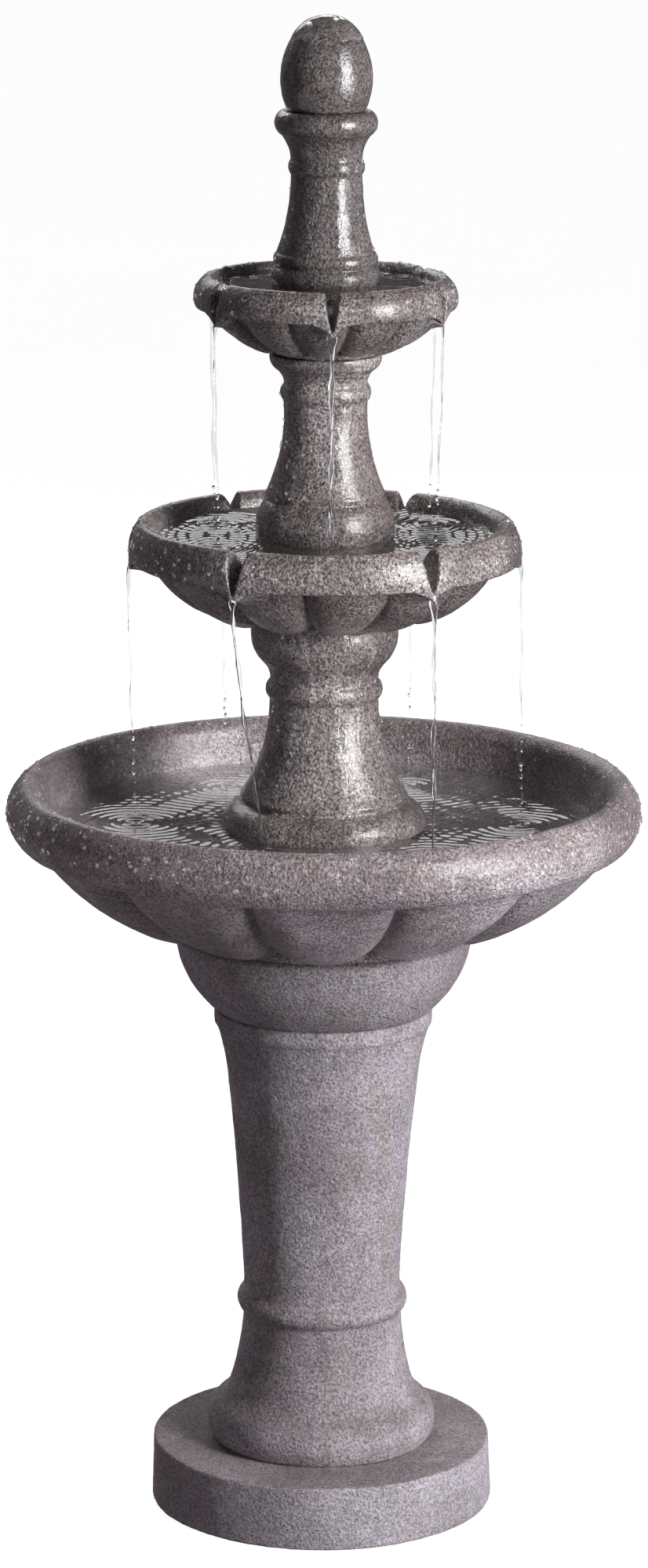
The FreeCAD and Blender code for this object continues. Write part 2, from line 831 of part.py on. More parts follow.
def add_spouts(body, tier, first):
    """V notches through the rim, each running down and outwards to a small hanging lip. The
    first one is this many degrees round from the front."""
    aim = FRONT + first + DIMENSIONS["spout_turn"]
    slope = math.radians(DIMENSIONS["spout_slope"])
    lip_r, lip_z = dim(f"{tier.name}_lip_radius"), dim(f"{tier.name}_lip_height")
    rise = ((tier.rim("crest") - lip_z) * math.cos(slope)
            - (lip_r - tier.rim("crest_radius")) * math.sin(slope))
    spread = dim(f"{tier.name}_notch_half_width") / rise
    thickness, shoulder = dim("lip_thickness"), dim("lip_shoulder")
    base = dim("lip_base_half_width")
    tilt = (FreeCAD.Rotation(Z_AXIS, aim + 90)
            * FreeCAD.Rotation(X_AXIS, 90 + DIMENSIONS["spout_slope"]))
    x, y = lip_r * math.cos(math.radians(aim)), lip_r * math.sin(math.radians(aim))

    lip = offset_sketch(new_sketch(body, f"{tier.name}_lip", "XY_Plane"), x, y, lip_z, tilt)
    outline(lip, [
        (-base, -thickness),
        (base, -thickness),
        (spread * shoulder + thickness, shoulder),
        (-(spread * shoulder) - thickness, shoulder),
    ])
    before = body.Shape.Volume
    raised = pad(body, f"{tier.name}_lip_pad", lip, dim("lip_reach"), True)
    expect_more(body, before, raised.Name)
    repeat(body, raised, dim("spouts"))

    notch = offset_sketch(new_sketch(body, f"{tier.name}_notch", "XY_Plane"), x, y, lip_z, tilt)
    depth = rise * 2
    outline(notch, [
        (0, 0),
        (spread * depth, depth),
        (-(spread * depth), depth),
    ])
    sink = pocket(body, f"{tier.name}_notch_cut", notch, dim("spout_reach"))
    return repeat(body, sink, dim("spouts"))


def make_lower_bowl():
    tier = Tier("lower")
    drop, ring = dim("spigot_depth"), dim("locating_ring_height")
    ring_outer = dim("pump_well_radius") - dim("spigot_clearance")
    ring_inner = ring_outer - dim("locating_ring_width")
    spigot_inner = tier.spigot - drop
    body = new_body("lower_bowl")
    make_dish(body, tier, [
        (0, tier.seat),
        (spigot_inner, tier.seat),
        (spigot_inner, tier.seat - drop),
        (tier.spigot, tier.seat - drop),
        (tier.spigot, tier.seat),
    ], [
        (ring_outer, tier.floor),
        (ring_outer, tier.floor + ring),
        (ring_inner, tier.floor + ring),
        (ring_inner, tier.floor),
        (0, tier.floor),
    ])
    carve_lobes(body, tier)
    add_rim(body, tier)
    holes = new_sketch(body, "floor_holes", "XY_Plane")
    offset_sketch(holes, z=tier.floor)
    for side in (-1, 1):
        circle(holes, dim("floor_hole_x") * side, dim("floor_hole_y"), dim("floor_hole_radius"))
    body.Tip = pocket(body, "floor_hole_cut", holes, tier.floor - tier.seat + drop)
    return body


def make_spouted_bowl(name, stem_well, first_spout):
    """A bowl whose hub has a spigot below, a hose bore through it and a boss above."""
    tier = Tier(name)
    bore = dim("hub_bore_radius")
    boss = dim(stem_well) - dim("spigot_clearance")
    boss_top = tier.floor + dim("locating_ring_height")
    body = new_body(f"{name}_bowl")
    make_dish(body, tier, [
        (bore, tier.seat - dim("spigot_depth")),
        (tier.spigot, tier.seat - dim("spigot_depth")),
        (tier.spigot, tier.seat),
    ], [
        (boss, tier.floor),
        (boss, boss_top),
        (bore, boss_top),
    ])
    carve_lobes(body, tier)
    add_rim(body, tier)
    add_spouts(body, tier, first_spout)
    return body


# The stems


def socket(radius_name, seat):
    """The corners of the recess in a stem's head that takes the spigot of the bowl above."""
    radius = dim(radius_name) + dim("spigot_clearance")
    depth = dim("spigot_depth") + dim("socket_end_clearance")
    return [(radius, seat), (radius, seat - depth), (dim("stem_bore_radius"), seat - depth)]


def make_lower_stem():
    floor, seat = dim("lower_floor"), dim("middle_bowl_seat")
    foot, neck, well = dim("lower_foot_radius"), dim("lower_neck_radius"), dim("pump_well_radius")
    body = new_body("lower_stem")
    turn(body, "lower_stem", [
        (well, floor),
        (foot, floor),
        (foot, dim("lower_base_roll_bottom"), dim("lower_base_roll")),
        (dim("lower_base_top_radius"), dim("lower_base_roll_top")),
        (dim("lower_crease_radius"), dim("lower_crease")),
        (dim("lower_flare_bottom_radius"), dim("lower_flare_bottom"), -dim("lower_flare_curve")),
        (neck, dim("lower_neck")),
        (neck, dim("lower_ring_bottom"), dim("lower_ring_roll")),
        (neck, dim("lower_ring_top"), -dim("lower_head_flare")),
        (dim("lower_head_bottom_radius"), dim("lower_head_bottom"), dim("lower_head_roll")),
        (dim("lower_head_top_radius"), seat),
    ] + socket("middle_spigot_radius", seat) + [
        (dim("stem_bore_radius"), dim("well_throat")),
        (dim("well_cone_radius"), dim("well_cone_top")),
        (well, dim("pump_well_top")),
    ])
    half, side = dim("inlet_arch_half_width"), floor + dim("inlet_arch_side_height")
    for name, plane in (("front", "XZ_Plane"), ("side", "YZ_Plane")):
        arch = offset_sketch(new_sketch(body, f"{name}_arch", plane), z=foot * 2)
        outline(arch, [
            (-half, floor - 1),
            (half, floor - 1),
            (half, side, dim("inlet_arch_roll")),
            (-half, side),
        ])
        body.Tip = pocket(body, f"{name}_arch_pair", arch, foot * 4)
    return body


def make_middle_stem():
    floor, seat = dim("middle_floor"), dim("upper_bowl_seat")
    foot, neck, well = dim("middle_foot_radius"), dim("middle_neck_radius"), dim("middle_well_radius")
    body = new_body("middle_stem")
    turn(body, "middle_stem", [
        (well, floor),
        (foot, floor),
        (foot, dim("middle_base_roll_bottom"), dim("middle_base_roll")),
        (dim("middle_base_top_radius"), dim("middle_base_roll_top")),
        (dim("middle_crease_radius"), dim("middle_crease")),
        (dim("middle_flare_bottom_radius"), dim("middle_flare_bottom"), -dim("middle_flare_curve")),
        (neck, dim("middle_neck")),
        (neck, dim("middle_ring_bottom"), dim("middle_ring_roll")),
        (neck, dim("middle_ring_top"), -dim("middle_head_flare")),
        (dim("middle_head_bottom_radius"), dim("middle_head_bottom"), dim("middle_head_roll")),
        (dim("middle_head_top_radius"), seat),
    ] + socket("upper_spigot_radius", seat) + [
        (dim("stem_bore_radius"), dim("middle_cone_top")),
        (well, dim("middle_well_top")),
    ])
    return body


def make_finial_stem():
    floor, seat = dim("upper_floor"), dim("egg_seat")
    foot, ring, well = dim("finial_foot_radius"), dim("finial_ring_radius"), dim("finial_well_radius")
    bore = dim("finial_bore_radius")
    body = new_body("finial_stem")
    turn(body, "finial_stem", [
        (well, floor),
        (foot, floor),
        (foot, dim("finial_base_roll_bottom"), dim("finial_base_roll")),
        (dim("finial_base_top_radius"), dim("finial_base_roll_top"), dim("finial_step_roll")),
        (dim("finial_step_radius"), dim("finial_step_top")),
        (dim("finial_flare_bottom_radius"), dim("finial_step_top") + dim("finial_step_bevel"),
         -dim("finial_flare_curve")),
        (dim("finial_neck_radius"), dim("finial_neck")),
        (ring, dim("finial_ring_bottom"), dim("finial_ring_roll")),
        (ring, dim("finial_ring_top"), -dim("collar_flare")),
        (dim("collar_underside_radius"), dim("collar_underside"), dim("collar_roll")),
        (dim("collar_underside_radius"), seat),
        (dim("egg_socket_radius"), seat),
        (dim("egg_socket_radius"), seat - dim("spigot_depth")),
        (bore, seat - dim("spigot_depth")),
        (bore, dim("finial_cone_top")),
        (well, dim("finial_well_top")),
    ])
    return body


def make_egg():
    seat, top = dim("egg_seat"), dim("overall_height") - dim("outlet_proud")
    spigot = dim("egg_socket_radius") - dim("fit_clearance")
    bore = dim("hose_radius") + dim("hose_clearance")
    mouth = dim("egg_mouth_radius")
    outlet_radius = mouth - dim("egg_mouth_wall")
    room_bottom = dim("outlet_bottom") - dim("outlet_end_room")
    spigot_bottom = seat - dim("spigot_depth") + dim("egg_spigot_gap")
    body = new_body("egg_finial")
    turn(body, "egg", [
        (bore, spigot_bottom),
        (spigot, spigot_bottom),
        (spigot, seat),
        (dim("egg_base_radius"), seat, dim("egg_side_curve")),
        (dim("egg_radius"), dim("egg_waist"), dim("egg_side_curve")),
        (dim("egg_shoulder_radius"), dim("egg_shoulder"), dim("egg_cap_curve")),
        (mouth, top),
        (outlet_radius, top),
        (outlet_radius, room_bottom),
        (bore, room_bottom),
    ])
    return body


# The water path: hose, seals, outlet and the fittings in the lower bowl's floor


def tube(name, outer, inner, bottom, top):
    """An upright tube on the fountain's axis."""
    outside = cylinder(f"{name}_outside", outer, top - bottom, z=bottom)
    inside = cylinder(f"{name}_inside", inner, top - bottom, z=bottom)
    return cut(name, outside, inside)


def make_hose():
    pump_top = dim("lower_floor") + dim("pump_feet_height") + dim("pump_height") / 2
    nozzle_top = pump_top + dim("volute_radius") + dim("nozzle_length")
    return tube("supply_hose", dim("hose_radius"), dim("hose_bore_radius"),
                nozzle_top - dim("hose_push_on"), dim("hose_top"))


def make_hub_seal(tier_name):
    """The rubber seal in a bowl's hub that keeps its water off the hose's bore."""
    bottom = dim(f"{tier_name}_bowl_seat") - dim("spigot_depth")
    boss_top = dim(f"{tier_name}_floor") + dim("locating_ring_height")
    name = f"{tier_name}_hub_seal"
    flange_top = boss_top + dim("seal_flange_thickness")
    sleeve = cylinder(f"{name}_sleeve", dim("hub_bore_radius") - dim("fit_clearance"),
                      flange_top - bottom, z=bottom)
    flange = cylinder(f"{name}_flange", dim("seal_flange_radius"),
                      dim("seal_flange_thickness"), z=boss_top)
    bore = cylinder(f"{name}_bore", dim("hose_radius") + dim("hose_clearance"),
                    flange_top - bottom, z=bottom)
    return cut(name, fuse(f"{name}_solid", sleeve, flange), bore)


def make_outlet():
    """The plastic sleeve in the egg's mouth that the water wells out of."""
    radius = dim("egg_mouth_radius") - dim("egg_mouth_wall") - dim("fit_clearance")
    return tube("water_outlet", radius, dim("outlet_hole_radius"), dim("outlet_bottom"),
                dim("overall_height"))


def floor_bung(name, side):
    """A rubber bung in one of the lower bowl's two floor holes."""
    x, y = dim("floor_hole_x") * side, dim("floor_hole_y")
    floor, seat = dim("lower_floor"), dim("lower_bowl_seat")
    stem = cylinder(f"{name}_stem", dim("floor_hole_radius") - dim("fit_clearance"),
                    floor - seat, x, y, seat)
    flange = cylinder(f"{name}_flange", dim("plug_flange_radius"),
                      dim("plug_flange_thickness"), x, y, floor)
    return stem, flange


def make_drain_plug():
    stem, flange = floor_bung("drain_plug", 1)
    top = dim("lower_floor") + dim("plug_flange_thickness")
    pull = cylinder("drain_plug_pull", dim("plug_pull_radius"), dim("plug_pull_height"),
                    dim("floor_hole_x"), dim("floor_hole_y"), top)
    return fuse("drain_plug", stem, flange, pull)


def make_bowl_cord_seal():
    stem, flange = floor_bung("cord_seal", -1)
    height = dim("lower_floor") - dim("lower_bowl_seat") + dim("plug_flange_thickness")
    hole = cylinder("cord_seal_hole", dim("cord_hole_radius"), height,
                    -dim("floor_hole_x"), dim("floor_hole_y"), dim("lower_bowl_seat"))
    return cut("bowl_cord_seal", fuse("cord_seal_solid", stem, flange), hole)


# The pump


PUMP_BOTTOM = dim("lower_floor") + dim("pump_feet_height")
PUMP_MIDDLE = PUMP_BOTTOM + dim("pump_height") / 2


def pump_box(name, half_width, front, back, half_height):
    """A box centred on the pump's shaft, from front to back along Y."""
    return box(name, half_width * 2, back - front, half_height * 2,
               -half_width, front, PUMP_MIDDLE - half_height)


def pump_disc(name, radius, front, back, across=0, up=0):
    """A cylinder parallel to the pump's shaft, from front to back along Y."""
    return cylinder(name, radius, back - front, across, front, PUMP_MIDDLE + up, ALONG_Y)


def rounded(name, item, radius):
    """Rounds a pump box's four edges that run along Y."""
    doc.recompute()
    feature = doc.addObject("Part::Fillet", name)
    feature.Base = item
    edges = []
    for number, edge in enumerate(item.Shape.Edges, 1):
        way = edge.Vertexes[-1].Point - edge.Vertexes[0].Point
        if abs(way.y) > edge.Length * 0.99:
            edges.append((number, radius.value, radius.value))
    feature.Edges = edges
    doc.recompute()
    return feature


def make_casing():
    front, back, wall = dim("casing_front"), dim("casing_back"), dim("casing_wall")
    half = dim("pump_half_width")
    well, well_end = dim("rotor_well_radius"), front + dim("rotor_well_depth")
    shell = rounded("casing_outside", pump_box("casing_block", half, front, back, half),
                    dim("pump_edge_radius"))
    room = pump_box("casing_room", half - wall, front + wall, back, half - wall)
    hollow = cut("casing_hollow", shell, room)
    tube_wall = pump_disc("well_outside", well + dim("rotor_well_wall"), front,
                          well_end + dim("rotor_well_wall"))
    bore = pump_disc("well_inside", well, front, well_end)
    return cut("pump_casing", fuse("casing_with_well", hollow, tube_wall), bore)


def core_blank(name):
    """The laminated U core: two limbs beside the rotor well and a yoke behind it."""
    half, limb = dim("core_half_width"), dim("core_limb")
    front = dim("casing_front") + dim("casing_wall") + dim("core_front_gap")
    outside = pump_box(f"{name}_outside", half, front, dim("yoke_back"), dim("core_half_height"))
    inside = pump_box(f"{name}_inside", half - limb, front, dim("yoke_front"),
                      dim("core_half_height"))
    return cut(name, outside, inside)


def coil_blank(name):
    """The coil wound round the yoke."""
    half, margin = dim("coil_half_width"), dim("coil_margin")
    return pump_box(name, half, dim("yoke_front") - margin, dim("yoke_back") + margin, half)


def make_stator():
    """Core, coil and the epoxy that fills the casing round them."""
    core = core_blank("stator_core")
    coil = cut("stator_coil", coil_blank("coil_block"), core_blank("coil_passage"))
    wall, half = dim("casing_wall"), dim("pump_half_width")
    well_end = dim("casing_front") + dim("rotor_well_depth") + dim("rotor_well_wall")
    fill = pump_box("potting_block", half - wall, dim("casing_front") + wall,
                    dim("casing_back"), half - wall)
    well = pump_disc("potting_well", dim("rotor_well_radius") + dim("rotor_well_wall"),
                     dim("casing_front"), well_end)
    taken = fuse("potting_taken", core_blank("potting_core"), coil_blank("potting_coil"), well)
    return [core, coil, cut("potting", fill, taken)]


def make_volute():
    front, back, wall = dim("volute_front"), dim("casing_front"), dim("volute_wall")
    half = dim("pump_half_width")
    body = pump_disc("volute_drum", dim("volute_radius"), front, back)
    face = pump_box("volute_face", half, front, front + wall, half)
    flange = pump_box("volute_flange", half, back - wall, back, half)
    nozzle_height = dim("volute_radius") + dim("nozzle_length")
    nozzle = cylinder("nozzle_outside", dim("nozzle_radius"), nozzle_height, z=PUMP_MIDDLE)
    solid = fuse("volute_solid", body, face, flange, nozzle)
    holes = [
        pump_disc("volute_chamber", dim("volute_radius") - wall, front + wall, back),
        cylinder("nozzle_inside", dim("nozzle_bore_radius"), nozzle_height, z=PUMP_MIDDLE),
    ] + inlet_hole_tools("volute_inlet", front, front + wall)
    chamber = cut("volute_open", solid, fuse("volute_holes", *holes))
    seat_wall = dim("bush_seat_wall")
    boss = pump_disc("volute_boss", dim("bush_radius") + seat_wall, front,
                     front + wall + seat_wall)
    pocket_tool = pump_disc("volute_bush_seat", dim("bush_radius"), front + wall,
                            front + wall + seat_wall)
    shaft_hole = pump_disc("volute_shaft_hole", dim("shaft_radius"), front + wall / 2,
                           front + wall)
    return cut("volute_cover", fuse("volute_with_boss", chamber, boss),
               fuse("volute_bush_room", pocket_tool, shaft_hole))


def inlet_hole_tools(name, front, back):
    """The round holes that let water through the volute's face and the dial's shutter."""
    tools = []
    for number in range(DIMENSIONS["inlet_holes"]):
        angle = math.tau * number / DIMENSIONS["inlet_holes"]
        tools.append(pump_disc(f"{name}_{number}", dim("inlet_hole_radius"), front, back,
                               dim("inlet_hole_circle") * math.cos(angle),
                               dim("inlet_hole_circle") * math.sin(angle)))
    return tools


def make_shaft_and_bushes():
    wall, length = dim("volute_wall"), dim("bush_length")
    front = dim("volute_front") + wall / 2
    well_end = dim("casing_front") + dim("rotor_well_depth")
    shaft = pump_disc("rotor_shaft", dim("shaft_radius"), front, well_end)
    bushes = []
    for name, start in (("front_bush", dim("volute_front") + wall), ("rear_bush", well_end - length)):
        radius = dim("bush_radius") if name == "front_bush" else dim("rotor_well_radius")
        outside = pump_disc(f"{name}_outside", radius, start, start + length)
        inside = pump_disc(f"{name}_inside", dim("shaft_radius"), start, start + length)
        bushes.append(cut(name, outside, inside))
    return [shaft, group("shaft_bushes", *bushes)]


def make_rotor():
    """The magnet and the impeller that spin together on the fixed shaft."""
    clear = dim("shaft_radius") + dim("running_clearance")
    wall_back = dim("casing_front") + dim("casing_wall")
    magnet_solid = pump_disc("magnet_outside", dim("magnet_radius"), wall_back,
                             wall_back + dim("magnet_length"))
    magnet_bore = pump_disc("magnet_inside", clear, wall_back, wall_back + dim("magnet_length"))
    magnet = cut("rotor_magnet", magnet_solid, magnet_bore)

    plate_back = dim("casing_front") - 1
    plate_front = plate_back - dim("impeller_thickness")
    blade_front = plate_front - dim("impeller_blade_height")
    parts = [
        pump_disc("impeller_plate", dim("impeller_radius"), plate_front, plate_back),
        pump_disc("impeller_hub", dim("impeller_hub_radius"), blade_front, wall_back),
    ]
    thickness = dim("impeller_blade_thickness")
    for number in range(DIMENSIONS["impeller_blades"]):
        spin = FreeCAD.Rotation(Y_AXIS, 360 * number / DIMENSIONS["impeller_blades"])
        corner = spin.multVec(FreeCAD.Vector(0, 0, -thickness.value / 2))
        parts.append(box(f"impeller_blade_{number}", dim("impeller_radius"),
                         dim("impeller_blade_height"), thickness,
                         corner.x, blade_front, PUMP_MIDDLE + corner.z, spin))
    bore = pump_disc("impeller_bore", clear, blade_front, wall_back)
    return [magnet, cut("impeller", fuse("impeller_solid", *parts), bore)]


def make_strainer():
    front, back, wall = dim("strainer_front"), dim("volute_front"), dim("casing_wall")
    half = dim("pump_half_width")
    shell = rounded("strainer_outside", pump_box("strainer_block", half, front, back, half),
                    dim("pump_edge_radius"))
    tools = [
        pump_box("strainer_room", half - wall, front + wall, back, half - wall),
        pump_disc("strainer_spindle_hole", dim("spindle_radius") + dim("running_clearance"),
                  front, front + wall),
    ]
    count = DIMENSIONS["strainer_slots"]
    pitch = (half - wall) * 2 / count
    for number in range(count):
        offset = number - (count - 1) / 2
        if offset == 0:
            continue  # the spindle's own column stays solid
        tools.append(box(f"strainer_slot_{number}", dim("strainer_slot_width"), wall,
                         dim("strainer_slot_height"),
                         pitch * offset - dim("strainer_slot_width") / 2, front,
                         PUMP_MIDDLE - dim("strainer_slot_height") / 2))
    return cut("intake_strainer", shell, fuse("strainer_tools", *tools))


def make_dial():
    """The flow control: a knob outside the strainer, a spindle, and a shutter behind."""
    gap, thickness = dim("dial_gap"), dim("dial_thickness")
    knob_back = dim("strainer_front") - gap
    shutter_back = dim("volute_front") - gap
    shutter_front = shutter_back - dim("shutter_thickness")
    knob = pump_disc("dial_knob", dim("dial_radius"), knob_back - thickness, knob_back)
    grip_half, grip_thickness = dim("dial_grip_half_length"), dim("dial_grip_thickness")
    grip = box("dial_grip", grip_half * 2, thickness, grip_thickness, -grip_half,
               knob_back - thickness * 2, PUMP_MIDDLE - grip_thickness / 2)
    spindle = pump_disc("dial_spindle", dim("spindle_radius"), knob_back, shutter_front)
    shutter = pump_disc("dial_shutter", dim("shutter_radius"), shutter_front, shutter_back)
    holes = fuse("dial_windows", *inlet_hole_tools("dial_window", shutter_front, shutter_back))
    return cut("flow_dial", fuse("dial_solid", knob, grip, spindle, shutter), holes)


def make_suction_feet():
    cups = []
    front = dim("casing_front") + dim("pump_foot_front_inset")
    back = dim("casing_back") - dim("pump_foot_back_inset")
    for number, (side, y) in enumerate((side, y) for side in (-1, 1) for y in (front, back)):
        cup = doc.addObject("Part::Cone", f"suction_cup_{number}")
        bind(cup, "Radius1", dim("suction_cup_radius"))
        bind(cup, "Radius2", dim("suction_cup_neck"))
        bind(cup, "Height", dim("pump_feet_height"))
        cups.append(place(cup, dim("pump_foot_x") * side, y, dim("lower_floor")))
    return group("suction_feet", *cups)


def make_gland():
    back = dim("casing_back")
    sleeve = pump_disc("gland_outside", dim("gland_radius"), back, back + dim("gland_length"))
    hole = pump_disc("gland_inside", dim("gland_hole_radius"), back, back + dim("gland_length"))
    return cut("pump_cord_gland", sleeve, hole)


nodes = [
    make_plinth(),
    make_column(),
    make_capital(),
    *make_bolts(),
    make_plinth_grommet(),
    make_lower_bowl(),
    make_lower_stem(),
    make_spouted_bowl("middle", "middle_well_radius", 30),
    make_middle_stem(),
    make_spouted_bowl("upper", "finial_well_radius", 0),
    make_finial_stem(),
    make_egg(),
    make_hose(),
    make_hub_seal("middle"),
    make_hub_seal("upper"),
    make_outlet(),
    make_drain_plug(),
    make_bowl_cord_seal(),
    make_casing(),
    *make_stator(),
    make_volute(),
    *make_shaft_and_bushes(),
    *make_rotor(),
    make_strainer(),
    make_dial(),
    make_suction_feet(),
    make_gland(),
]

doc.recompute()
for item in doc.Objects:
    if {"Invalid", "Error"} & set(item.State):
        raise RuntimeError(f"{item.Label} failed: {item.State}")

os.makedirs("parts", exist_ok=True)
for node in nodes:
    shape = node.Shape
    if shape.isNull() or not shape.isValid() or shape.Volume <= 0:
        raise RuntimeError(f"{node.Label} has no valid solid")
    shape.exportStep(f"parts/{node.Label}.step")
    box_size = shape.BoundBox
    print(f"{node.Label:22s} solids {len(shape.Solids)}  volume {shape.Volume:12.0f} mm3  "
          f"z {box_size.ZMin:7.1f} to {box_size.ZMax:7.1f}")
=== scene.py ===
import itertools
import math
from collections import namedtuple

import bmesh
import bpy
import numpy as np
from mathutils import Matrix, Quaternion, Vector
from mathutils.bvhtree import BVHTree


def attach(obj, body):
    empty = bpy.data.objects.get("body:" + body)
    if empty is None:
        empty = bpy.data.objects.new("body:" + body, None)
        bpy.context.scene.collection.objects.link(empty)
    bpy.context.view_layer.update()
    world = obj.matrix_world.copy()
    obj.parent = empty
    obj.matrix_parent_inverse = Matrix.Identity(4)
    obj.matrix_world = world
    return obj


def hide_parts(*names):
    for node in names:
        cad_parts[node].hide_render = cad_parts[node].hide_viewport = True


# Looks of the tiered fountain. Profiles are in millimetres, (radius, height) from the axis and
# the ground, as in the CAD; meshes are in metres. A bearing is round from the front (-Y),
# positive to the right (+X): in degrees, except in the grids that profiles are revolved on.

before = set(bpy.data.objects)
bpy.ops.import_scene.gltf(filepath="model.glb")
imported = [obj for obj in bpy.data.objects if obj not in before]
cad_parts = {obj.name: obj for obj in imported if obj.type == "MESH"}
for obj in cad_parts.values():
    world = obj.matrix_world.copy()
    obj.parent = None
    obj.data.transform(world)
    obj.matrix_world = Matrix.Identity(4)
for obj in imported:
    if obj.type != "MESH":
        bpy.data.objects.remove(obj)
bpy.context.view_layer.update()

MM = 0.001
UP = (0, 0, 1)
LOBES = 12  # round each bowl's underside
SPOUTS = 6  # round each of the two smaller bowls
SPOUT_TURN = 2.7  # degrees that both sets of spouts are turned from the front
SPOUT_SLOPE = math.radians(35)
RANDOM = np.random.default_rng(7)


# Profiles


def trace(corners, step):
    """Points along a closed outline of corners (r, z) or (r, z, bulge radius of the arc that
    starts there), and the number of the corner that each point follows."""
    points, follows = [], []
    for number, (corner, after) in enumerate(zip(corners, corners[1:] + corners[:1])):
        start, end = np.array(corner[:2], float), np.array(after[:2], float)
        across, up = end - start
        chord = math.hypot(across, up)
        if len(corner) == 2:
            count = max(1, round(chord / step))
            found = [start + (end - start) * i / count for i in range(count)]
        else:
            bulge = corner[2]
            reach = math.copysign(math.sqrt(bulge * bulge - chord * chord / 4), bulge)
            centre = (start + end) / 2 + np.array((-up, across)) / chord * reach
            first, last = (math.atan2(p[1] - centre[1], p[0] - centre[0]) for p in (start, end))
            sweep = (last - first + math.pi) % math.tau - math.pi
            count = max(2, round(abs(sweep * bulge) / step))
            turns = [first + sweep * i / count for i in range(count)]
            found = [centre + abs(bulge) * np.array((math.cos(a), math.sin(a))) for a in turns]
        points += found
        follows += [number] * len(found)
    return np.array(points), np.array(follows)


def soften(points, rounds, ends_on_axis):
    """Rounds the outline's corners, as a mould and years of paint do."""
    for _ in range(rounds):
        before, after = np.roll(points, 1, 0), np.roll(points, -1, 0)
        moved = points * 0.5 + (before + after) * 0.25
        if ends_on_axis:
            moved[[0, -1]] = points[[0, -1]]
        points = moved
    return points


# Shapes


def lumps(points, size, seed):
    """Smooth noise from -1 to 1 at each point, its lumps about size across. The long numbers
    only scramble a lattice corner into a value that looks random."""
    cells = points / size
    base = np.floor(cells)
    part = cells - base
    part = part * part * (3 - 2 * part)
    total = np.zeros(len(points))
    for corner in itertools.product((0, 1), repeat=3):
        lattice = (base + corner) @ np.array((12.9898, 78.233, 37.719)) + seed * 17.13
        value = (np.sin(lattice) * 43758.5453) % 1 * 2 - 1
        total += value * np.prod(np.where(corner, part, 1 - part), axis=1)
    return total


def warp(points):
    """The castings' slight unevenness, under a millimetre: one field for all of them, so that
    they still meet. It fades out at the axis and at the ground."""
    radius = np.maximum(np.hypot(points[:, 0], points[:, 1]), 1e-6)
    out = points.copy()
    swell = lumps(points, 0.055, 1) * 0.0006 + lumps(points, 0.017, 2) * 0.00025
    swell *= np.clip(radius / 0.02, 0, 1)
    out[:, :2] += points[:, :2] / radius[:, None] * swell[:, None]
    out[:, 2] += lumps(points, 0.07, 3) * 0.0004 * np.clip(points[:, 2] / 0.01, 0, 1)
    return out


def new_piece(name, points, faces):
    mesh = bpy.data.meshes.new(name)
    mesh.from_pydata([tuple(p) for p in points], [], [tuple(f) for f in faces])
    mesh.validate()
    mesh.polygons.foreach_set("use_smooth", [True] * len(mesh.polygons))
    piece = bpy.data.objects.new(name, mesh)
    bpy.context.scene.collection.objects.link(piece)
    return piece


def revolve(name, radius, height, bearing, closed):
    """A mesh on a grid of profile rows and bearings. closed joins the last row to the first."""
    rows, columns = radius.shape
    points = np.stack((radius * np.sin(bearing), -radius * np.cos(bearing), height), -1)
    i, j = np.meshgrid(np.arange(rows if closed else rows - 1), np.arange(columns), indexing="ij")
    up, on = (i + 1) % rows, (j + 1) % columns
    faces = np.stack((i * columns + j, i * columns + on, up * columns + on, up * columns + j), -1)
    return new_piece(name, points.reshape(-1, 3) * MM, faces.reshape(-1, 4))


def edit(piece, work):
    """Runs work on the piece's mesh as a bmesh."""
    mesh = bmesh.new()
    mesh.from_mesh(piece.data)
    work(mesh)
    mesh.to_mesh(piece.data)
    mesh.free()


def merge_doubles(piece):
    edit(piece, lambda mesh: bmesh.ops.remove_doubles(mesh, verts=mesh.verts, dist=1e-5))


def all_round(count, columns):
    """The bearings of a grid of count rows, in radians."""
    return np.broadcast_to(np.arange(columns) * math.tau / columns, (count, columns))


def turned(name, corners, step, columns, rounds=1, change=None, on_axis=False):
    """A casting turned about the axis. step is between the outline's points, columns go round,
    and rounds is how much its corners are softened. change alters its grid before it is made.
    on_axis is for an outline that starts and ends on the axis."""
    points, follows = trace(corners, step)
    if on_axis:
        points = np.vstack((points[:-1], corners[-1]))
        follows = follows[:len(points)]
    points = soften(points, rounds, on_axis)
    bearing = all_round(len(points), columns)
    radius = np.repeat(points[:, :1], columns, 1)
    height = np.repeat(points[:, 1:], columns, 1)
    if change:
        radius, height = change(radius, height, bearing, follows)
    piece = revolve(name, radius, height, bearing, not on_axis)
    if on_axis:
        merge_doubles(piece)
    return piece


def apply_modifiers(piece):
    graph = bpy.context.evaluated_depsgraph_get()
    made = bpy.data.meshes.new_from_object(piece.evaluated_get(graph))
    piece.modifiers.clear()
    piece.data = made
    made.polygons.foreach_set("use_smooth", [True] * len(made.polygons))


def joined(parts):
    """Several (points, faces) as one."""
    points, faces = [], []
    for some_points, some_faces in parts:
        faces += [tuple(len(points) + i for i in face) for face in some_faces]
        points += list(some_points)
    return points, faces


def cut_away(piece, *tools):
    """Cuts closed shapes, each (points, faces), out of the piece."""
    tool = new_piece("tool", *joined(tools))
    edit(tool, lambda mesh: bmesh.ops.recalc_face_normals(mesh, faces=mesh.faces))
    boolean = piece.modifiers.new("cut", "BOOLEAN")
    boolean.operation = "DIFFERENCE"
    boolean.solver = "EXACT"
    boolean.object = tool
    apply_modifiers(piece)
    bpy.data.objects.remove(tool)


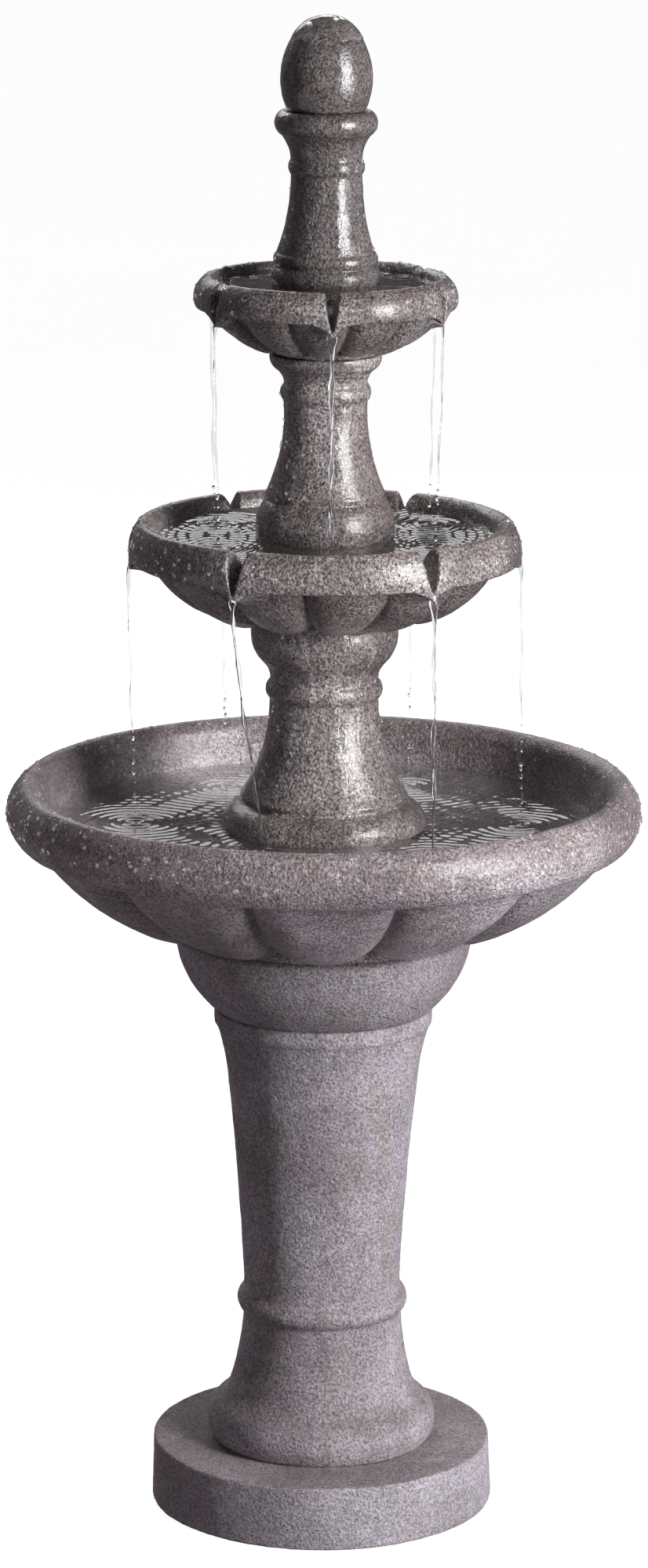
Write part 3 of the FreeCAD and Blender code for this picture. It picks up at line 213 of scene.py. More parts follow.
def prism(section, start, end):
    """A closed prism: a section of 3-D points, swept from start to end."""
    count = len(section)
    points = [np.array(p) + start for p in section] + [np.array(p) + end for p in section]
    sides = [(i, (i + 1) % count, (i + 1) % count + count, i + count) for i in range(count)]
    caps = [tuple(range(count))[::-1], tuple(range(count, 2 * count))]
    return points, caps + sides


ROD_SIDES = 32


def rod(centre, axis, radius, length):
    """A round prism about centre, along axis, for drilling holes."""
    axis = Vector(axis)
    side = axis.orthogonal().normalized()
    other = axis.cross(side)
    turns = [math.tau * i / ROD_SIDES for i in range(ROD_SIDES)]
    section = [np.array(centre) + np.array(side * math.cos(a) + other * math.sin(a)) * radius
               for a in turns]
    half = np.array(axis) * length / 2
    return prism(section, -half, half)


def remesh(piece, size, smoothing):
    """Gives the piece even faces and worn edges."""
    voxels = piece.modifiers.new("voxels", "REMESH")
    voxels.mode = "VOXEL"
    voxels.voxel_size = size
    relax = piece.modifiers.new("relax", "SMOOTH")
    relax.iterations = smoothing
    apply_modifiers(piece)


def coordinates(piece):
    """The piece's points as an array."""
    out = np.empty(len(piece.data.vertices) * 3)
    piece.data.vertices.foreach_get("co", out)
    return out.reshape(-1, 3)


GRAIN_DEPTH = 0.00016


def roughen(piece):
    """Warps the casting and gives it the coarse part of its cast grain."""
    mesh = piece.data
    normals = np.empty(len(mesh.vertices) * 3)
    mesh.vertices.foreach_get("normal", normals)
    points = coordinates(piece)
    grain = lumps(points, 0.006, 4) + lumps(points, 0.0031, 5) * 0.8
    moved = warp(points) + normals.reshape(-1, 3) * (grain * GRAIN_DEPTH)[:, None]
    mesh.vertices.foreach_set("co", moved.ravel())
    mesh.update()


# Materials


class Look:
    """A material whose nodes are added by short calls. Sizes are in metres. Textures follow
    the piece's own coordinates, so they move with it."""

    def __init__(self, name):
        self.material = bpy.data.materials.new(name)
        self.material.use_nodes = True
        self.tree = self.material.node_tree
        self.shader = self.tree.nodes["Principled BSDF"]
        self.coordinates = self.tree.nodes.new("ShaderNodeTexCoord").outputs
        self.place = self.coordinates["Object"]

    def add(self, kind, **settings):
        node = self.tree.nodes.new(kind)
        for key, value in settings.items():
            setattr(node, key, value)
        return node

    def feed(self, socket, value):
        if isinstance(value, bpy.types.NodeSocket):
            self.tree.links.new(value, socket)
        else:
            socket.default_value = value

    def noise(self, size, detail=3.0, roughness=0.55, stretch=(1, 1, 1), distortion=0.0):
        """Noise whose features are about size across, stretched along each axis."""
        scaled = self.add("ShaderNodeMapping")
        self.feed(scaled.inputs["Vector"], self.place)
        scaled.inputs["Scale"].default_value = [1 / (size * s) for s in stretch]
        node = self.add("ShaderNodeTexNoise")
        self.feed(node.inputs["Vector"], scaled.outputs["Vector"])
        node.inputs["Scale"].default_value = 1.0
        node.inputs["Detail"].default_value = detail
        node.inputs["Roughness"].default_value = roughness
        node.inputs["Distortion"].default_value = distortion
        return node.outputs["Fac"]

    def grains(self, size):
        """Distance from the nearest of scattered grains, size apart."""
        scaled = self.add("ShaderNodeMapping")
        self.feed(scaled.inputs["Vector"], self.place)
        scaled.inputs["Scale"].default_value = [1 / size] * 3
        node = self.add("ShaderNodeTexVoronoi")
        self.feed(node.inputs["Vector"], scaled.outputs["Vector"])
        node.inputs["Scale"].default_value = 1.0
        return node.outputs["Distance"]

    def spread(self, value, low, high, to_low=0.0, to_high=1.0):
        """Maps low..high to to_low..to_high, and stops there."""
        node = self.add("ShaderNodeMapRange")
        self.feed(node.inputs["Value"], value)
        for name, number in (("From Min", low), ("From Max", high),
                             ("To Min", to_low), ("To Max", to_high)):
            node.inputs[name].default_value = number
        return node.outputs["Result"]

    def maths(self, kind, a, b):
        node = self.add("ShaderNodeMath", operation=kind)
        self.feed(node.inputs[0], a)
        self.feed(node.inputs[1], b)
        return node.outputs["Value"]

    def upright(self, what):
        """The height above the ground, or the upright part of the normal."""
        node = self.add("ShaderNodeSeparateXYZ")
        self.feed(node.inputs[0], self.coordinates[what])
        return node.outputs["Z"]

    def ramp(self, value, *stops):
        """A colour for each value, from stops of (value, colour)."""
        node = self.add("ShaderNodeValToRGB")
        self.feed(node.inputs["Fac"], value)
        elements = node.color_ramp.elements
        while len(elements) < len(stops):
            elements.new(0.5)
        for element, (at, colour) in zip(elements, stops):
            element.position = at
            element.color = (*colour, 1)
        return node.outputs["Color"]

    def mix(self, kind, amount, a, b):
        """Blends b over a. Each is a socket or a colour."""
        node = self.add("ShaderNodeMix", data_type="RGBA", blend_type=kind)
        self.feed(node.inputs["Factor"], amount)
        self.feed(node.inputs["A"], a if isinstance(a, bpy.types.NodeSocket) else (*a, 1))
        self.feed(node.inputs["B"], b if isinstance(b, bpy.types.NodeSocket) else (*b, 1))
        return node.outputs["Result"]

    def bump(self, height, distance, strength=1.0, under=None):
        node = self.add("ShaderNodeBump")
        self.feed(node.inputs["Height"], height)
        node.inputs["Distance"].default_value = distance
        node.inputs["Strength"].default_value = strength
        if under:
            self.feed(node.inputs["Normal"], under)
        return node.outputs["Normal"]

    def set(self, **sockets):
        """Feeds the shader's sockets, with _ for each space in a name."""
        for name, value in sockets.items():
            self.feed(self.shader.inputs[name.replace("_", " ")], value)


def grey(value):
    return (value, value, value)


# Painted shade, and the darkening of soaked stone: the colour that stone is multiplied by where it
# faces up, and between the soaked heights.
PAINTED_SHADE_AND_SOAK = (0.69, 0.65, 0.62)


def stone(name, dark, middle, light, wash, rough, coat, contrast, strokes, clumps=0.0,
          soaked=None):
    """Cast stone: blotches, vertical wash marks, horizontal strokes and a crisp sandy grain with
    pits, and painted shade that turns it darker and browner where it faces up. dark, middle
    and light are the blotches' colours and wash the stains'. rough is its roughness, and coat
    how much of a film of water lies on it.
    contrast, strokes and clumps are how strongly the fine grain, the strokes and the coarser
    grain show. Where soaked gives two heights, it turns darker and browner between them."""
    look = Look(name)
    blotch = look.noise(0.11, 4.0, 0.6, distortion=0.4)
    streak = look.noise(0.03, 4.0, 0.6, stretch=(1, 1, 5))
    stroke = look.noise(0.0035, 3.0, 0.6, stretch=(9, 9, 1))
    mottle = look.noise(0.012, 5.0, 0.65)
    coarse = look.noise(0.0046, 3.0, 0.7)
    fine = look.noise(0.0023, 4.0, 0.75)
    pits = look.grains(0.003)
    base = look.ramp(blotch, (0.32, dark), (0.5, middle), (0.68, light))
    base = look.mix("MIX", look.spread(streak, 0.52, 0.72, 0.0, 0.6), base, wash)
    # Painted shade: darker and browner where it faces up, as on the basin floors under water that
    # casts no shadow. Between the soaked heights the same darkening is a wet band.
    painted_shade_and_soak = look.spread(look.upright("Normal"), 0.3, 0.95)
    if soaked:
        painted_shade_and_soak = look.maths("MAXIMUM", painted_shade_and_soak, look.spread(look.upright("Object"), *soaked))
    base = look.mix("MULTIPLY", painted_shade_and_soak, base, PAINTED_SHADE_AND_SOAK)

    def vary(source, low, high, down, up):
        """The colour so far, down to 1 - down times itself and up to 1 + up, with source."""
        shades = look.ramp(source, (low, grey(1 - down)), (high, grey(1 + up)))
        return look.mix("MULTIPLY", 1.0, base, shades)

    base = vary(stroke, 0.3, 0.7, strokes, strokes)
    base = vary(mottle, 0.3, 0.7, 0.17 * contrast, 0.12 * contrast)
    base = vary(coarse, 0.4, 0.6, clumps * 0.35, clumps * 0.35)
    base = vary(fine, 0.38, 0.62, 0.6 * contrast, 0.7 * contrast)
    base = look.mix("MIX", look.spread(pits, 0.22, 0.08, 0.0, 0.6 * contrast), base, grey(0.06))
    relief = look.maths("ADD", look.maths("MULTIPLY", fine, 0.7),
                        look.maths("MULTIPLY", look.spread(pits, 0.0, 0.5), 0.3))
    relief = look.maths("ADD", relief, look.maths("MULTIPLY", coarse, clumps * 3))
    broad = look.bump(mottle, 0.0016, 0.3)
    normal = look.bump(relief, 0.002, 0.9, broad)
    roughness = look.spread(mottle, 0.3, 0.7, rough + 0.1, rough - 0.1)
    look.set(Base_Color=base, Roughness=roughness, Normal=normal)
    if coat:
        film = look.bump(relief, 0.002, 0.15, broad)
        look.set(Coat_Weight=coat, Coat_Roughness=0.05, Coat_IOR=1.5, Coat_Normal=film)
    return look.material


def water_look(name, tint):
    """Clear water with a slight swirl in it."""
    look = Look(name)
    swirl = look.noise(0.006, 2.0, 0.5)
    look.set(Base_Color=(*tint, 1), Roughness=0.02, IOR=1.333, Transmission_Weight=1.0,
             Normal=look.bump(swirl, 0.0003, 0.3))
    return look.material


def moulded(name, colour, other, rough, metallic=0.0, **settings):
    """Plastic, rubber, metal or ceramic: clouded colour, uneven gloss and a fine surface grain."""
    look = Look(name)
    cloud = look.noise(0.012, 4.0, 0.6)
    fine = look.noise(0.0007, 2.0, 0.5)
    look.set(Base_Color=look.ramp(cloud, (0.35, colour), (0.65, other)),
             Roughness=look.spread(cloud, 0.3, 0.7, rough * 1.2, rough * 0.8),
             Metallic=metallic, Normal=look.bump(fine, 0.00012, 0.5), **settings)
    return look.material


def wound(name, colour, other, rough):
    """Wire winding or stacked laminations: fine lines across one axis."""
    look = Look(name)
    lines = look.noise(0.0008, 1.0, 0.4, stretch=(40, 1, 40))
    look.set(Base_Color=look.ramp(lines, (0.35, colour), (0.6, other)), Metallic=1.0,
             Roughness=look.spread(lines, 0.3, 0.7, rough * 1.3, rough),
             Normal=look.bump(lines, 0.0003, 0.7))
    return look.material


def dress(piece, material):
    """Gives the piece one material."""
    piece.data.materials.clear()
    piece.data.materials.append(material)


DRY = stone("plinth_stone",
            (0.225, 0.20, 0.22), (0.305, 0.277, 0.31), (0.41, 0.38, 0.425), (0.27, 0.24, 0.225),
            rough=0.8, coat=0.0, contrast=0.7, strokes=0.07)
PEDESTAL = stone("pedestal_stone",
                 (0.20, 0.175, 0.19), (0.28, 0.252, 0.28), (0.365, 0.335, 0.38),
                 (0.235, 0.205, 0.18),
                 rough=0.78, coat=0.0, contrast=0.8, strokes=0.05, clumps=0.06)
DAMP = stone("damp_stone",
             (0.225, 0.19, 0.212), (0.345, 0.308, 0.335), (0.485, 0.445, 0.48), (0.30, 0.25, 0.25),
             rough=0.52, coat=0.4, contrast=0.95, strokes=0.15, clumps=0.2, soaked=(0.563, 0.59))
WET = stone("wet_stone",
            (0.105, 0.085, 0.086), (0.185, 0.159, 0.158), (0.305, 0.272, 0.272),
            (0.165, 0.127, 0.115),
            rough=0.42, coat=0.75, contrast=1.4, strokes=0.14, clumps=0.3)
SOAKED = stone("glossy_wet_stone",
               (0.06, 0.048, 0.049), (0.112, 0.095, 0.094), (0.195, 0.172, 0.172),
               (0.10, 0.076, 0.069),
               rough=0.32, coat=1.0, contrast=1.4, strokes=0.05, clumps=0.25)
WATER = water_look("water", (0.78, 0.80, 0.81))  # streams and drops, tinted to show on white
# Basin water, tinted darker as painted shade of the basin under it, which the shadowless water
# leaves lit.
PAINTED_SHADE_WATER = water_look("painted_shade_water", (0.48, 0.48, 0.465))


# Castings


class Tier:
    """A bowl's sizes in millimetres and degrees. Each ..._r and ..._z is a distance from the
    axis and a height above the ground.

    seat, floor, top, water: heights of its foot, basin floor, rim's lower edge and water
    arc_r, arc_z, arc_radius: the arc of its underside; wall: its thickness
    rim_bottom, rim_crest, rim_roll, rim_inner, inner_roll: the rim's corners, and the radii of
        the arcs between them
    dent, flank, lobe_end, lobe_turn: the valleys' depth and half width, how far round the arc
        the lobes go, and how far they are turned
    lip, notch, first_spout: the spouts' tips, the notches' half width at the crest, and the
        first one's bearing
    pull, pull_width: how far the rim's edge is drawn down at a lip, and from how wide
    """

    def __init__(self, **sizes):
        self.__dict__.update(sizes)

    def wall_at(self, height, inside=0.0):
        """The wall's distance from the axis at a height, or its inner face's."""
        radius = self.arc_radius - inside
        return self.arc_r + math.sqrt(radius ** 2 - (self.arc_z - height) ** 2)


LOWER = Tier(seat=484, floor=497, arc_r=77.4, arc_z=680.9, arc_radius=200.9, wall=14, top=562,
             rim_bottom=247, rim_crest=(243, 607), rim_roll=28.6, rim_inner=(230, 597.5),
             inner_roll=14, dent=12.5, flank=36, lobe_end=79, lobe_turn=0, water=571)
MIDDLE = Tier(seat=739, floor=751, arc_r=58.2, arc_z=831.5, arc_radius=92.7, wall=11, top=788.5,
              rim_bottom=155, rim_crest=(147.5, 820), rim_roll=30, rim_inner=(136.5, 812),
              inner_roll=11, dent=9.5, flank=26, lobe_end=86, lobe_turn=8.2, water=808,
              lip=(156, 785), notch=8.2, first_spout=30, pull=8, pull_width=25)
UPPER = Tier(seat=955, floor=966, arc_r=26.5, arc_z=1036.5, arc_radius=83.1, wall=9, top=992,
             rim_bottom=103, rim_crest=(93.5, 1017), rim_roll=19, rim_inner=(86, 1011),
             inner_roll=8, dent=7.5, flank=17, lobe_end=80, lobe_turn=-3, water=1011,
             lip=(102, 986.5), notch=5.8, first_spout=0, pull=9.5, pull_width=20)
UNDERCUT = (5, 6)  # in and up, under the rim's lower edge
RIM_ARRIS = 0.9  # width of the flat that keeps that edge crisp
STEEPEST = 0.98  # how far out along its arc the flank of a lobe goes, as a share of the radius
FULL_DENT = 0.8  # and how deep the arc is there
LIP_BELOW = 17  # how far below the rim the underside is drawn into a lip
LIP_BEYOND = 2  # how far past its tip the drawing may take the edge
NOTCH_FLOOR = 0.8  # half width of a notch's floor
NOTCH_RUN = (-14, 45)  # how far a notch is cut out past its lip, and in towards the axis


def nearest(bearing, count, turn):
    """Signed angle from the nearest of count evenly spaced bearings, in radians. turn is one
    of them, in degrees."""
    pitch = math.tau / count
    return (bearing - math.radians(turn) + pitch / 2) % pitch - pitch / 2


def lobes(tier, radius, height, bearing, rows):
    """Sinks the valleys between the lobes into the underside, and rounds the lobes' ends."""
    r, z, turn = radius[rows], height[rows], bearing[rows]
    slope = np.arctan2(tier.arc_z - z, r - tier.arc_r)
    half = r * math.pi / LOBES
    across = abs(r * nearest(turn, LOBES, tier.lobe_turn))
    end = math.radians(tier.lobe_end)
    end_half = (tier.arc_r + tier.arc_radius * math.cos(end)) * math.pi / LOBES
    along = tier.arc_radius * (end - slope)
    inside = half - across
    rounded = end_half - np.hypot(across, np.maximum(end_half - along, 0))
    inside = np.where(along < end_half, np.minimum(inside, rounded), inside)
    bulge = np.clip(1 - inside / tier.flank, 0, STEEPEST)
    dent = tier.dent * (1 - np.sqrt(1 - bulge ** 2)) / FULL_DENT
    radius[rows] = r - dent * np.cos(slope)
    height[rows] = z + dent * np.sin(slope)


def lips(tier, radius, height, bearing, under, rim):
    """Draws the rim's lower edge out and down to a point at each spout."""
    reach = abs(nearest(bearing, SPOUTS, tier.first_spout + SPOUT_TURN)) * tier.lip[0]
    near = np.clip(1 - reach / tier.pull_width, 0, 1) ** 2
    share = np.zeros_like(radius)
    crest = tier.rim_crest[1]
    share[rim] = np.clip((crest - height[rim]) / (crest - tier.top), 0, 1) ** 1.5
    share[under] = np.clip(1 - (tier.top - height[under]) / LIP_BELOW, 0, 1) ** 2
    share *= near
    radius += share * np.clip(tier.lip[0] + LIP_BEYOND - radius, 0, None)
    height -= share * tier.pull


def bowl_corners(tier, hub, boss):
    """A bowl's outline. The first corner of the underside comes straight after the hub's."""
    wall = tier.wall_at(tier.top)
    return hub + [
        (tier.wall_at(tier.seat), tier.seat, tier.arc_radius),
        (wall, tier.top),
        (wall - UNDERCUT[0], tier.top + UNDERCUT[1]),
        (tier.rim_bottom - RIM_ARRIS, tier.top + RIM_ARRIS * 0.5),
        (tier.rim_bottom, tier.top, tier.rim_roll),
        (*tier.rim_crest, tier.inner_roll),
        tier.rim_inner,
        (tier.wall_at(tier.top, tier.wall), tier.top, -(tier.arc_radius - tier.wall)),
        (tier.wall_at(tier.floor, tier.wall), tier.floor),
    ] + boss


def shape_bowl(tier, hub_corners, spouts):
    """The change that turned() makes to a bowl whose hub has so many corners."""
    def change(radius, height, bearing, follows):
        under = follows == hub_corners
        rim = np.isin(follows, range(hub_corners + 1, hub_corners + 5))
        lobes(tier, radius, height, bearing, under)
        if spouts:
            lips(tier, radius, height, bearing, under, rim)
        return radius, height
    return change


def direction(bearing, out, up=0.0):
    """The point out from the axis at a bearing and up, in metres."""
    turn = math.radians(bearing)
    return np.array((math.sin(turn) * out, -math.cos(turn) * out, up)) * MM


def spout_bearing(tier, number):
    return tier.first_spout + SPOUT_TURN + number * 360 / SPOUTS


def cut_notches(piece, tier):
    """V notches through the rim, each running down and out to its lip."""
    lip_r, lip_z = tier.lip
    crest_r, crest_z = tier.rim_crest
    rise = ((crest_z - lip_z) * math.cos(SPOUT_SLOPE) - (lip_r - crest_r) * math.sin(SPOUT_SLOPE))
    depth = rise * 2
    half = tier.notch / rise * depth
    wedges = []
    for number in range(SPOUTS):
        bearing = spout_bearing(tier, number)
        side = direction(bearing + 90, 1)
        inwards = direction(bearing, -math.cos(SPOUT_SLOPE), math.sin(SPOUT_SLOPE))
        rising = direction(bearing, math.sin(SPOUT_SLOPE), math.cos(SPOUT_SLOPE))
        lip = direction(bearing, lip_r, lip_z)
        section = [lip + side * -NOTCH_FLOOR, lip + side * NOTCH_FLOOR,
                   lip + side * half + rising * depth, lip - side * half + rising * depth]
        wedges.append(prism(section, inwards * NOTCH_RUN[0], inwards * NOTCH_RUN[1]))
    cut_away(piece, *wedges)


def finish_casting(piece, body, node, material):
    """Gives a casting its grain and look, and puts it in its CAD node's place."""
    roughen(piece)
    dress(piece, material)
    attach(piece, body)
    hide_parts(node)
    return piece


BOLT_CIRCLE = 73
FLOOR_HOLES = (79, 38)  # drain and cord: how far each is to its side, and both behind


def plinth():
    piece = turned("plinth_casting", [
        (131.2, 0), (140.7, 0), (138.8, 50.8, 1.2), (137.6, 52), (30, 52), (30, 42.5),
        (129.3, 42.5)], 1.6, 420)
    bolts = [rod(direction(turn, BOLT_CIRCLE, 47), UP, 4 * MM, 30 * MM)
             for turn in (60, 180, 300)]
    cord_passage = rod(direction(180, 136, 22), (0, 1, 0), 8 * MM, 40 * MM)
    cut_away(piece, *bolts, cord_passage)
    return finish_casting(piece, "base", "plinth", DRY)


def column():
    piece = turned("column_casting", [
        (55.5, 52), (89.5, 52, 24), (85, 85, -28), (75.8, 97, -250), (64.9, 160.5, 11),
        (64.9, 179), (64.1, 187, -2350), (77.1, 354, -216), (86.9, 405), (88.9, 407),
        (88.9, 418, 2), (86.9, 420), (71.9, 420), (71.9, 396), (55.5, 179)], 1.6, 300)
    return finish_casting(piece, "base", "pedestal_column", PEDESTAL)


def capital():
    piece = turned("capital_casting", [
        (62.4, 412), (71.4, 412), (71.4, 420), (88, 420, 87.5), (120.5, 478, 6.6),
        (115, 484), (104, 484), (104, 472, -78.5), (76, 429), (45, 429), (45, 420),
        (62.4, 420)], 1.6, 360)
    return finish_casting(piece, "base", "pedestal_capital", PEDESTAL)


def lower_bowl():
    hub = [(0, 484), (95.5, 484), (95.5, 476), (103.5, 476), (103.5, 484)]
    boss = [(63.5, 497), (63.5, 501), (58.5, 501), (58.5, 497), (0, 497)]
    piece = turned("lower_bowl_casting", bowl_corners(LOWER, hub, boss), 2.2, 560,
                   change=shape_bowl(LOWER, len(hub), False), on_axis=True)
    side, back = FLOOR_HOLES
    cut_away(piece, *(rod(np.array((x, back, 490)) * MM, UP, 8 * MM, 40 * MM)
                      for x in (-side, side)))
    return finish_casting(piece, "lower_bowl", "lower_bowl", DAMP)


def spouted_bowl(name, tier, spigot, boss_radius, voxel):
    """A bowl with a hub round the hose, remeshed to even faces of voxel metres."""
    hub = [(13, tier.seat - 8), (spigot, tier.seat - 8), (spigot, tier.seat)]
    boss = [(boss_radius, tier.floor), (boss_radius, tier.floor + 4), (13, tier.floor + 4)]
    piece = turned(f"{name}_casting", bowl_corners(tier, hub, boss), 1.4, 760,
                   change=shape_bowl(tier, len(hub), True))
    cut_notches(piece, tier)
    remesh(piece, voxel, 1)
    return finish_casting(piece, name, name, WET)


def lower_stem():
    piece = turned("lower_stem_casting", [
        (64, 497), (74, 497), (74, 557, 18.2), (69, 590), (65.8, 591.5), (67.4, 596, -140),
        (43.8, 668), (43.8, 676, 9.6), (43.8, 691, -19.2), (50, 706, 30.5), (57.5, 739),
        (30.5, 739), (30.5, 729), (12, 729), (12, 655), (36, 645), (64, 566)], 1.2, 320)
    arch = ((-12, 490), (12, 490), (12, 505), (6, 510.5), (-6, 510.5), (-12, 505))
    for turn in (0, 90):
        section = [direction(turn + 90, x, z) for x, z in arch]
        cut_away(piece, prism(section, direction(turn, -90), direction(turn, 90)))
    return finish_casting(piece, "lower_stem", "lower_stem", WET)


def middle_stem():
    piece = turned("middle_stem_casting", [
        (38, 751), (50, 751), (50, 797, 33.2), (49, 836.5), (46.6, 838.5), (47.8, 843, -165),
        (33, 912), (33, 917, 9.9), (33, 931, -15.8), (38, 942, 12), (44, 955), (22.5, 955),
        (22.5, 945), (12, 945), (12, 850), (38, 800)], 1.1, 260)
    return finish_casting(piece, "middle_stem", "middle_stem", WET)


def finial_stem():
    piece = turned("finial_stem_casting", [
        (27.5, 966), (37, 966), (37, 1007, 10.8), (39, 1025, 7.3), (40, 1034.5),
        (38.8, 1035.5, -149), (29.3, 1078), (28.5, 1097, 9.3), (28.5, 1109, -31.4),
        (35.5, 1128, 11.2), (35.5, 1147), (26, 1147), (26, 1139), (9, 1139), (9, 1012),
        (27.5, 990)], 1.0, 220)
    return finish_casting(piece, "finial", "finial_stem", SOAKED)


EGG_TOP = [(28.4, 1203, 29), (7, 1218.6)]


def egg():
    piece = turned("egg_casting", [
        (7.4, 1139.5), (25.95, 1139.5), (25.95, 1147), (30.4, 1147, 61.4), (36.2, 1173, 61.4),
        *EGG_TOP, (6.5, 1218.6), (6.5, 1203), (7.4, 1203)], 1.0, 220, rounds=2)
    return finish_casting(piece, "finial", "egg_finial", SOAKED)


CASTINGS = {
    "plinth": plinth(),
    "column": column(),
    "capital": capital(),
    "lower_bowl": lower_bowl(),
    "lower_stem": lower_stem(),
    "middle_bowl": spouted_bowl("middle_bowl", MIDDLE, 30, 37.5, 0.00125),
    "middle_stem": middle_stem(),
    "upper_bowl": spouted_bowl("upper_bowl", UPPER, 22, 27, 0.00095),
    "finial_stem": finial_stem(),
    "egg": egg(),
}


# Water


Stream = namedtuple("Stream", "inward aside width breaks")
HOSE_RADIUS = 7
RING_PITCH, RING_REACH, RING_HEIGHT = 9, 42, 0.85
THREAD_SIDES = 12
SMALLEST_DROP, LARGEST_DROP = 0.6, 2.2


def wet(piece, body, material=WATER):
    """Makes the piece water, clear enough to cast no shadow."""
    dress(piece, material)
    piece.visible_shadow = False
    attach(piece, body)


def level_radius(tier):
    """How far from the axis the basin's wall is at its water level."""
    low = tier.wall_at(tier.top, tier.wall)
    out, up = tier.rim_inner
    return low + (out - low) * (tier.water - tier.top) / (up - tier.top)


def chop(points, impacts):
    """Height of the ripples, in millimetres: rings round each impact on a light chop."""
    flat = np.column_stack((points, np.zeros(len(points))))
    high = lumps(flat, 16, 11) * 0.33 + lumps(flat, 8, 12) * 0.14
    for x, y in impacts:
        away = np.hypot(points[:, 0] - x, points[:, 1] - y)
        high += np.cos(away * math.tau / RING_PITCH) * np.exp(-away / RING_REACH) * RING_HEIGHT
    return high


def basin_water(name, body, tier, impacts, step):
    """The water in a bowl, from the hose out to just inside the wall, on a grid of step."""
    out = level_radius(tier) + 0.8
    rows, columns = round((out - HOSE_RADIUS) / step), round(math.tau * out / step)
    radius = np.repeat(np.linspace(HOSE_RADIUS, out, rows)[:, None], columns, 1)
    bearing = all_round(rows, columns)
    flat = np.stack((radius * np.sin(bearing), -radius * np.cos(bearing)), -1).reshape(-1, 2)
    height = tier.water + chop(flat, impacts).reshape(radius.shape)
    piece = revolve(name, radius, height, bearing, False)
    edit(piece, lambda mesh: bmesh.ops.reverse_faces(mesh, faces=mesh.faces))
    # The darker tint is painted shade of the basin beneath.
    wet(piece, body, PAINTED_SHADE_WATER)


def loft(centres, widths, depths, turns, side):
    """A closed thread of water, with a ring of points about each centre. Each ring is widths by
    depths across, and turned about the flow from the side direction."""
    centres = np.array(centres)
    flow = np.gradient(centres, axis=0)
    flow /= np.linalg.norm(flow, axis=1)[:, None]
    across = side - flow * (flow @ side)[:, None]
    across /= np.linalg.norm(across, axis=1)[:, None]
    other = np.cross(flow, across)
    c, s = np.cos(turns), np.sin(turns)
    points = []
    for i in range(THREAD_SIDES):
        a = math.tau * i / THREAD_SIDES
        out = np.array(widths) * math.cos(a)
        up = np.array(depths) * math.sin(a)
        points.append(centres + across * (out * c - up * s)[:, None]
                      + other * (out * s + up * c)[:, None])
    points = np.stack(points, 1)
    last = (len(centres) - 1) * THREAD_SIDES
    faces = []
    for ring in range(0, last, THREAD_SIDES):
        for i in range(THREAD_SIDES):
            on = (i + 1) % THREAD_SIDES
            faces.append((ring + i, ring + on, ring + THREAD_SIDES + on, ring + THREAD_SIDES + i))
    caps = [tuple(range(THREAD_SIDES))[::-1], tuple(last + i for i in range(THREAD_SIDES))]
    return points.reshape(-1, 3), faces + caps


def ball(centre, across, tall):
    """A bead of water."""
    heights = np.cos(np.linspace(0.02, math.pi - 0.02, 9))
    centres = [np.array(centre) + np.array((0, 0, h * tall)) for h in heights]
    widths = np.sqrt(1 - heights ** 2) * across
    return loft(centres, widths, widths, np.zeros(9), np.array((1.0, 0.0, 0.0)))


def through_notch(tier, bearing, width):
    """A stream's way from the basin to its lip: its centres, widths and depths."""
    lip_r, lip_z = tier.lip
    start = level_radius(tier) - 5
    slope = math.tan(SPOUT_SLOPE)
    centres, widths, depths = [], [], []
    for share in np.linspace(0, 1, 9):
        r = start + (lip_r + 0.4 - start) * share
        bottom = lip_z + (lip_r - r) * slope
        deep = max((tier.water - bottom) * (1 - share) ** 1.4, 1.8)
        centres.append(direction(bearing, r, bottom + deep * 0.5))
        widths.append(max(deep * 0.36, width * 0.8))
        depths.append(deep * 0.5)
    return centres, widths, depths


def broken_foot(last, foot, drop, end):
    """The beads that a stream goes on as, from its last centre to its foot."""
    beads = []
    down = drop * end + 5
    while down < drop - 3:
        share = down / drop
        middle = last + (foot - last) * (share - end) / (1 - end)
        across = RANDOM.uniform(0.6, 1.5) * MM
        beads.append(ball(middle + RANDOM.uniform(-0.7, 0.7, 3) * MM, across,
                          across * RANDOM.uniform(1.0, 2.4)))
        down += RANDOM.uniform(4, 13)
    return beads


def splash(foot):
    """The drops thrown up where a stream lands."""
    drops = []
    for _ in range(7):
        hop = RANDOM.normal(0, 5, 2)
        size = RANDOM.uniform(0.3, 0.8) * MM
        drops.append(ball(foot + np.array((*hop, RANDOM.uniform(1.5, 9))) * MM, size, size))
    return drops


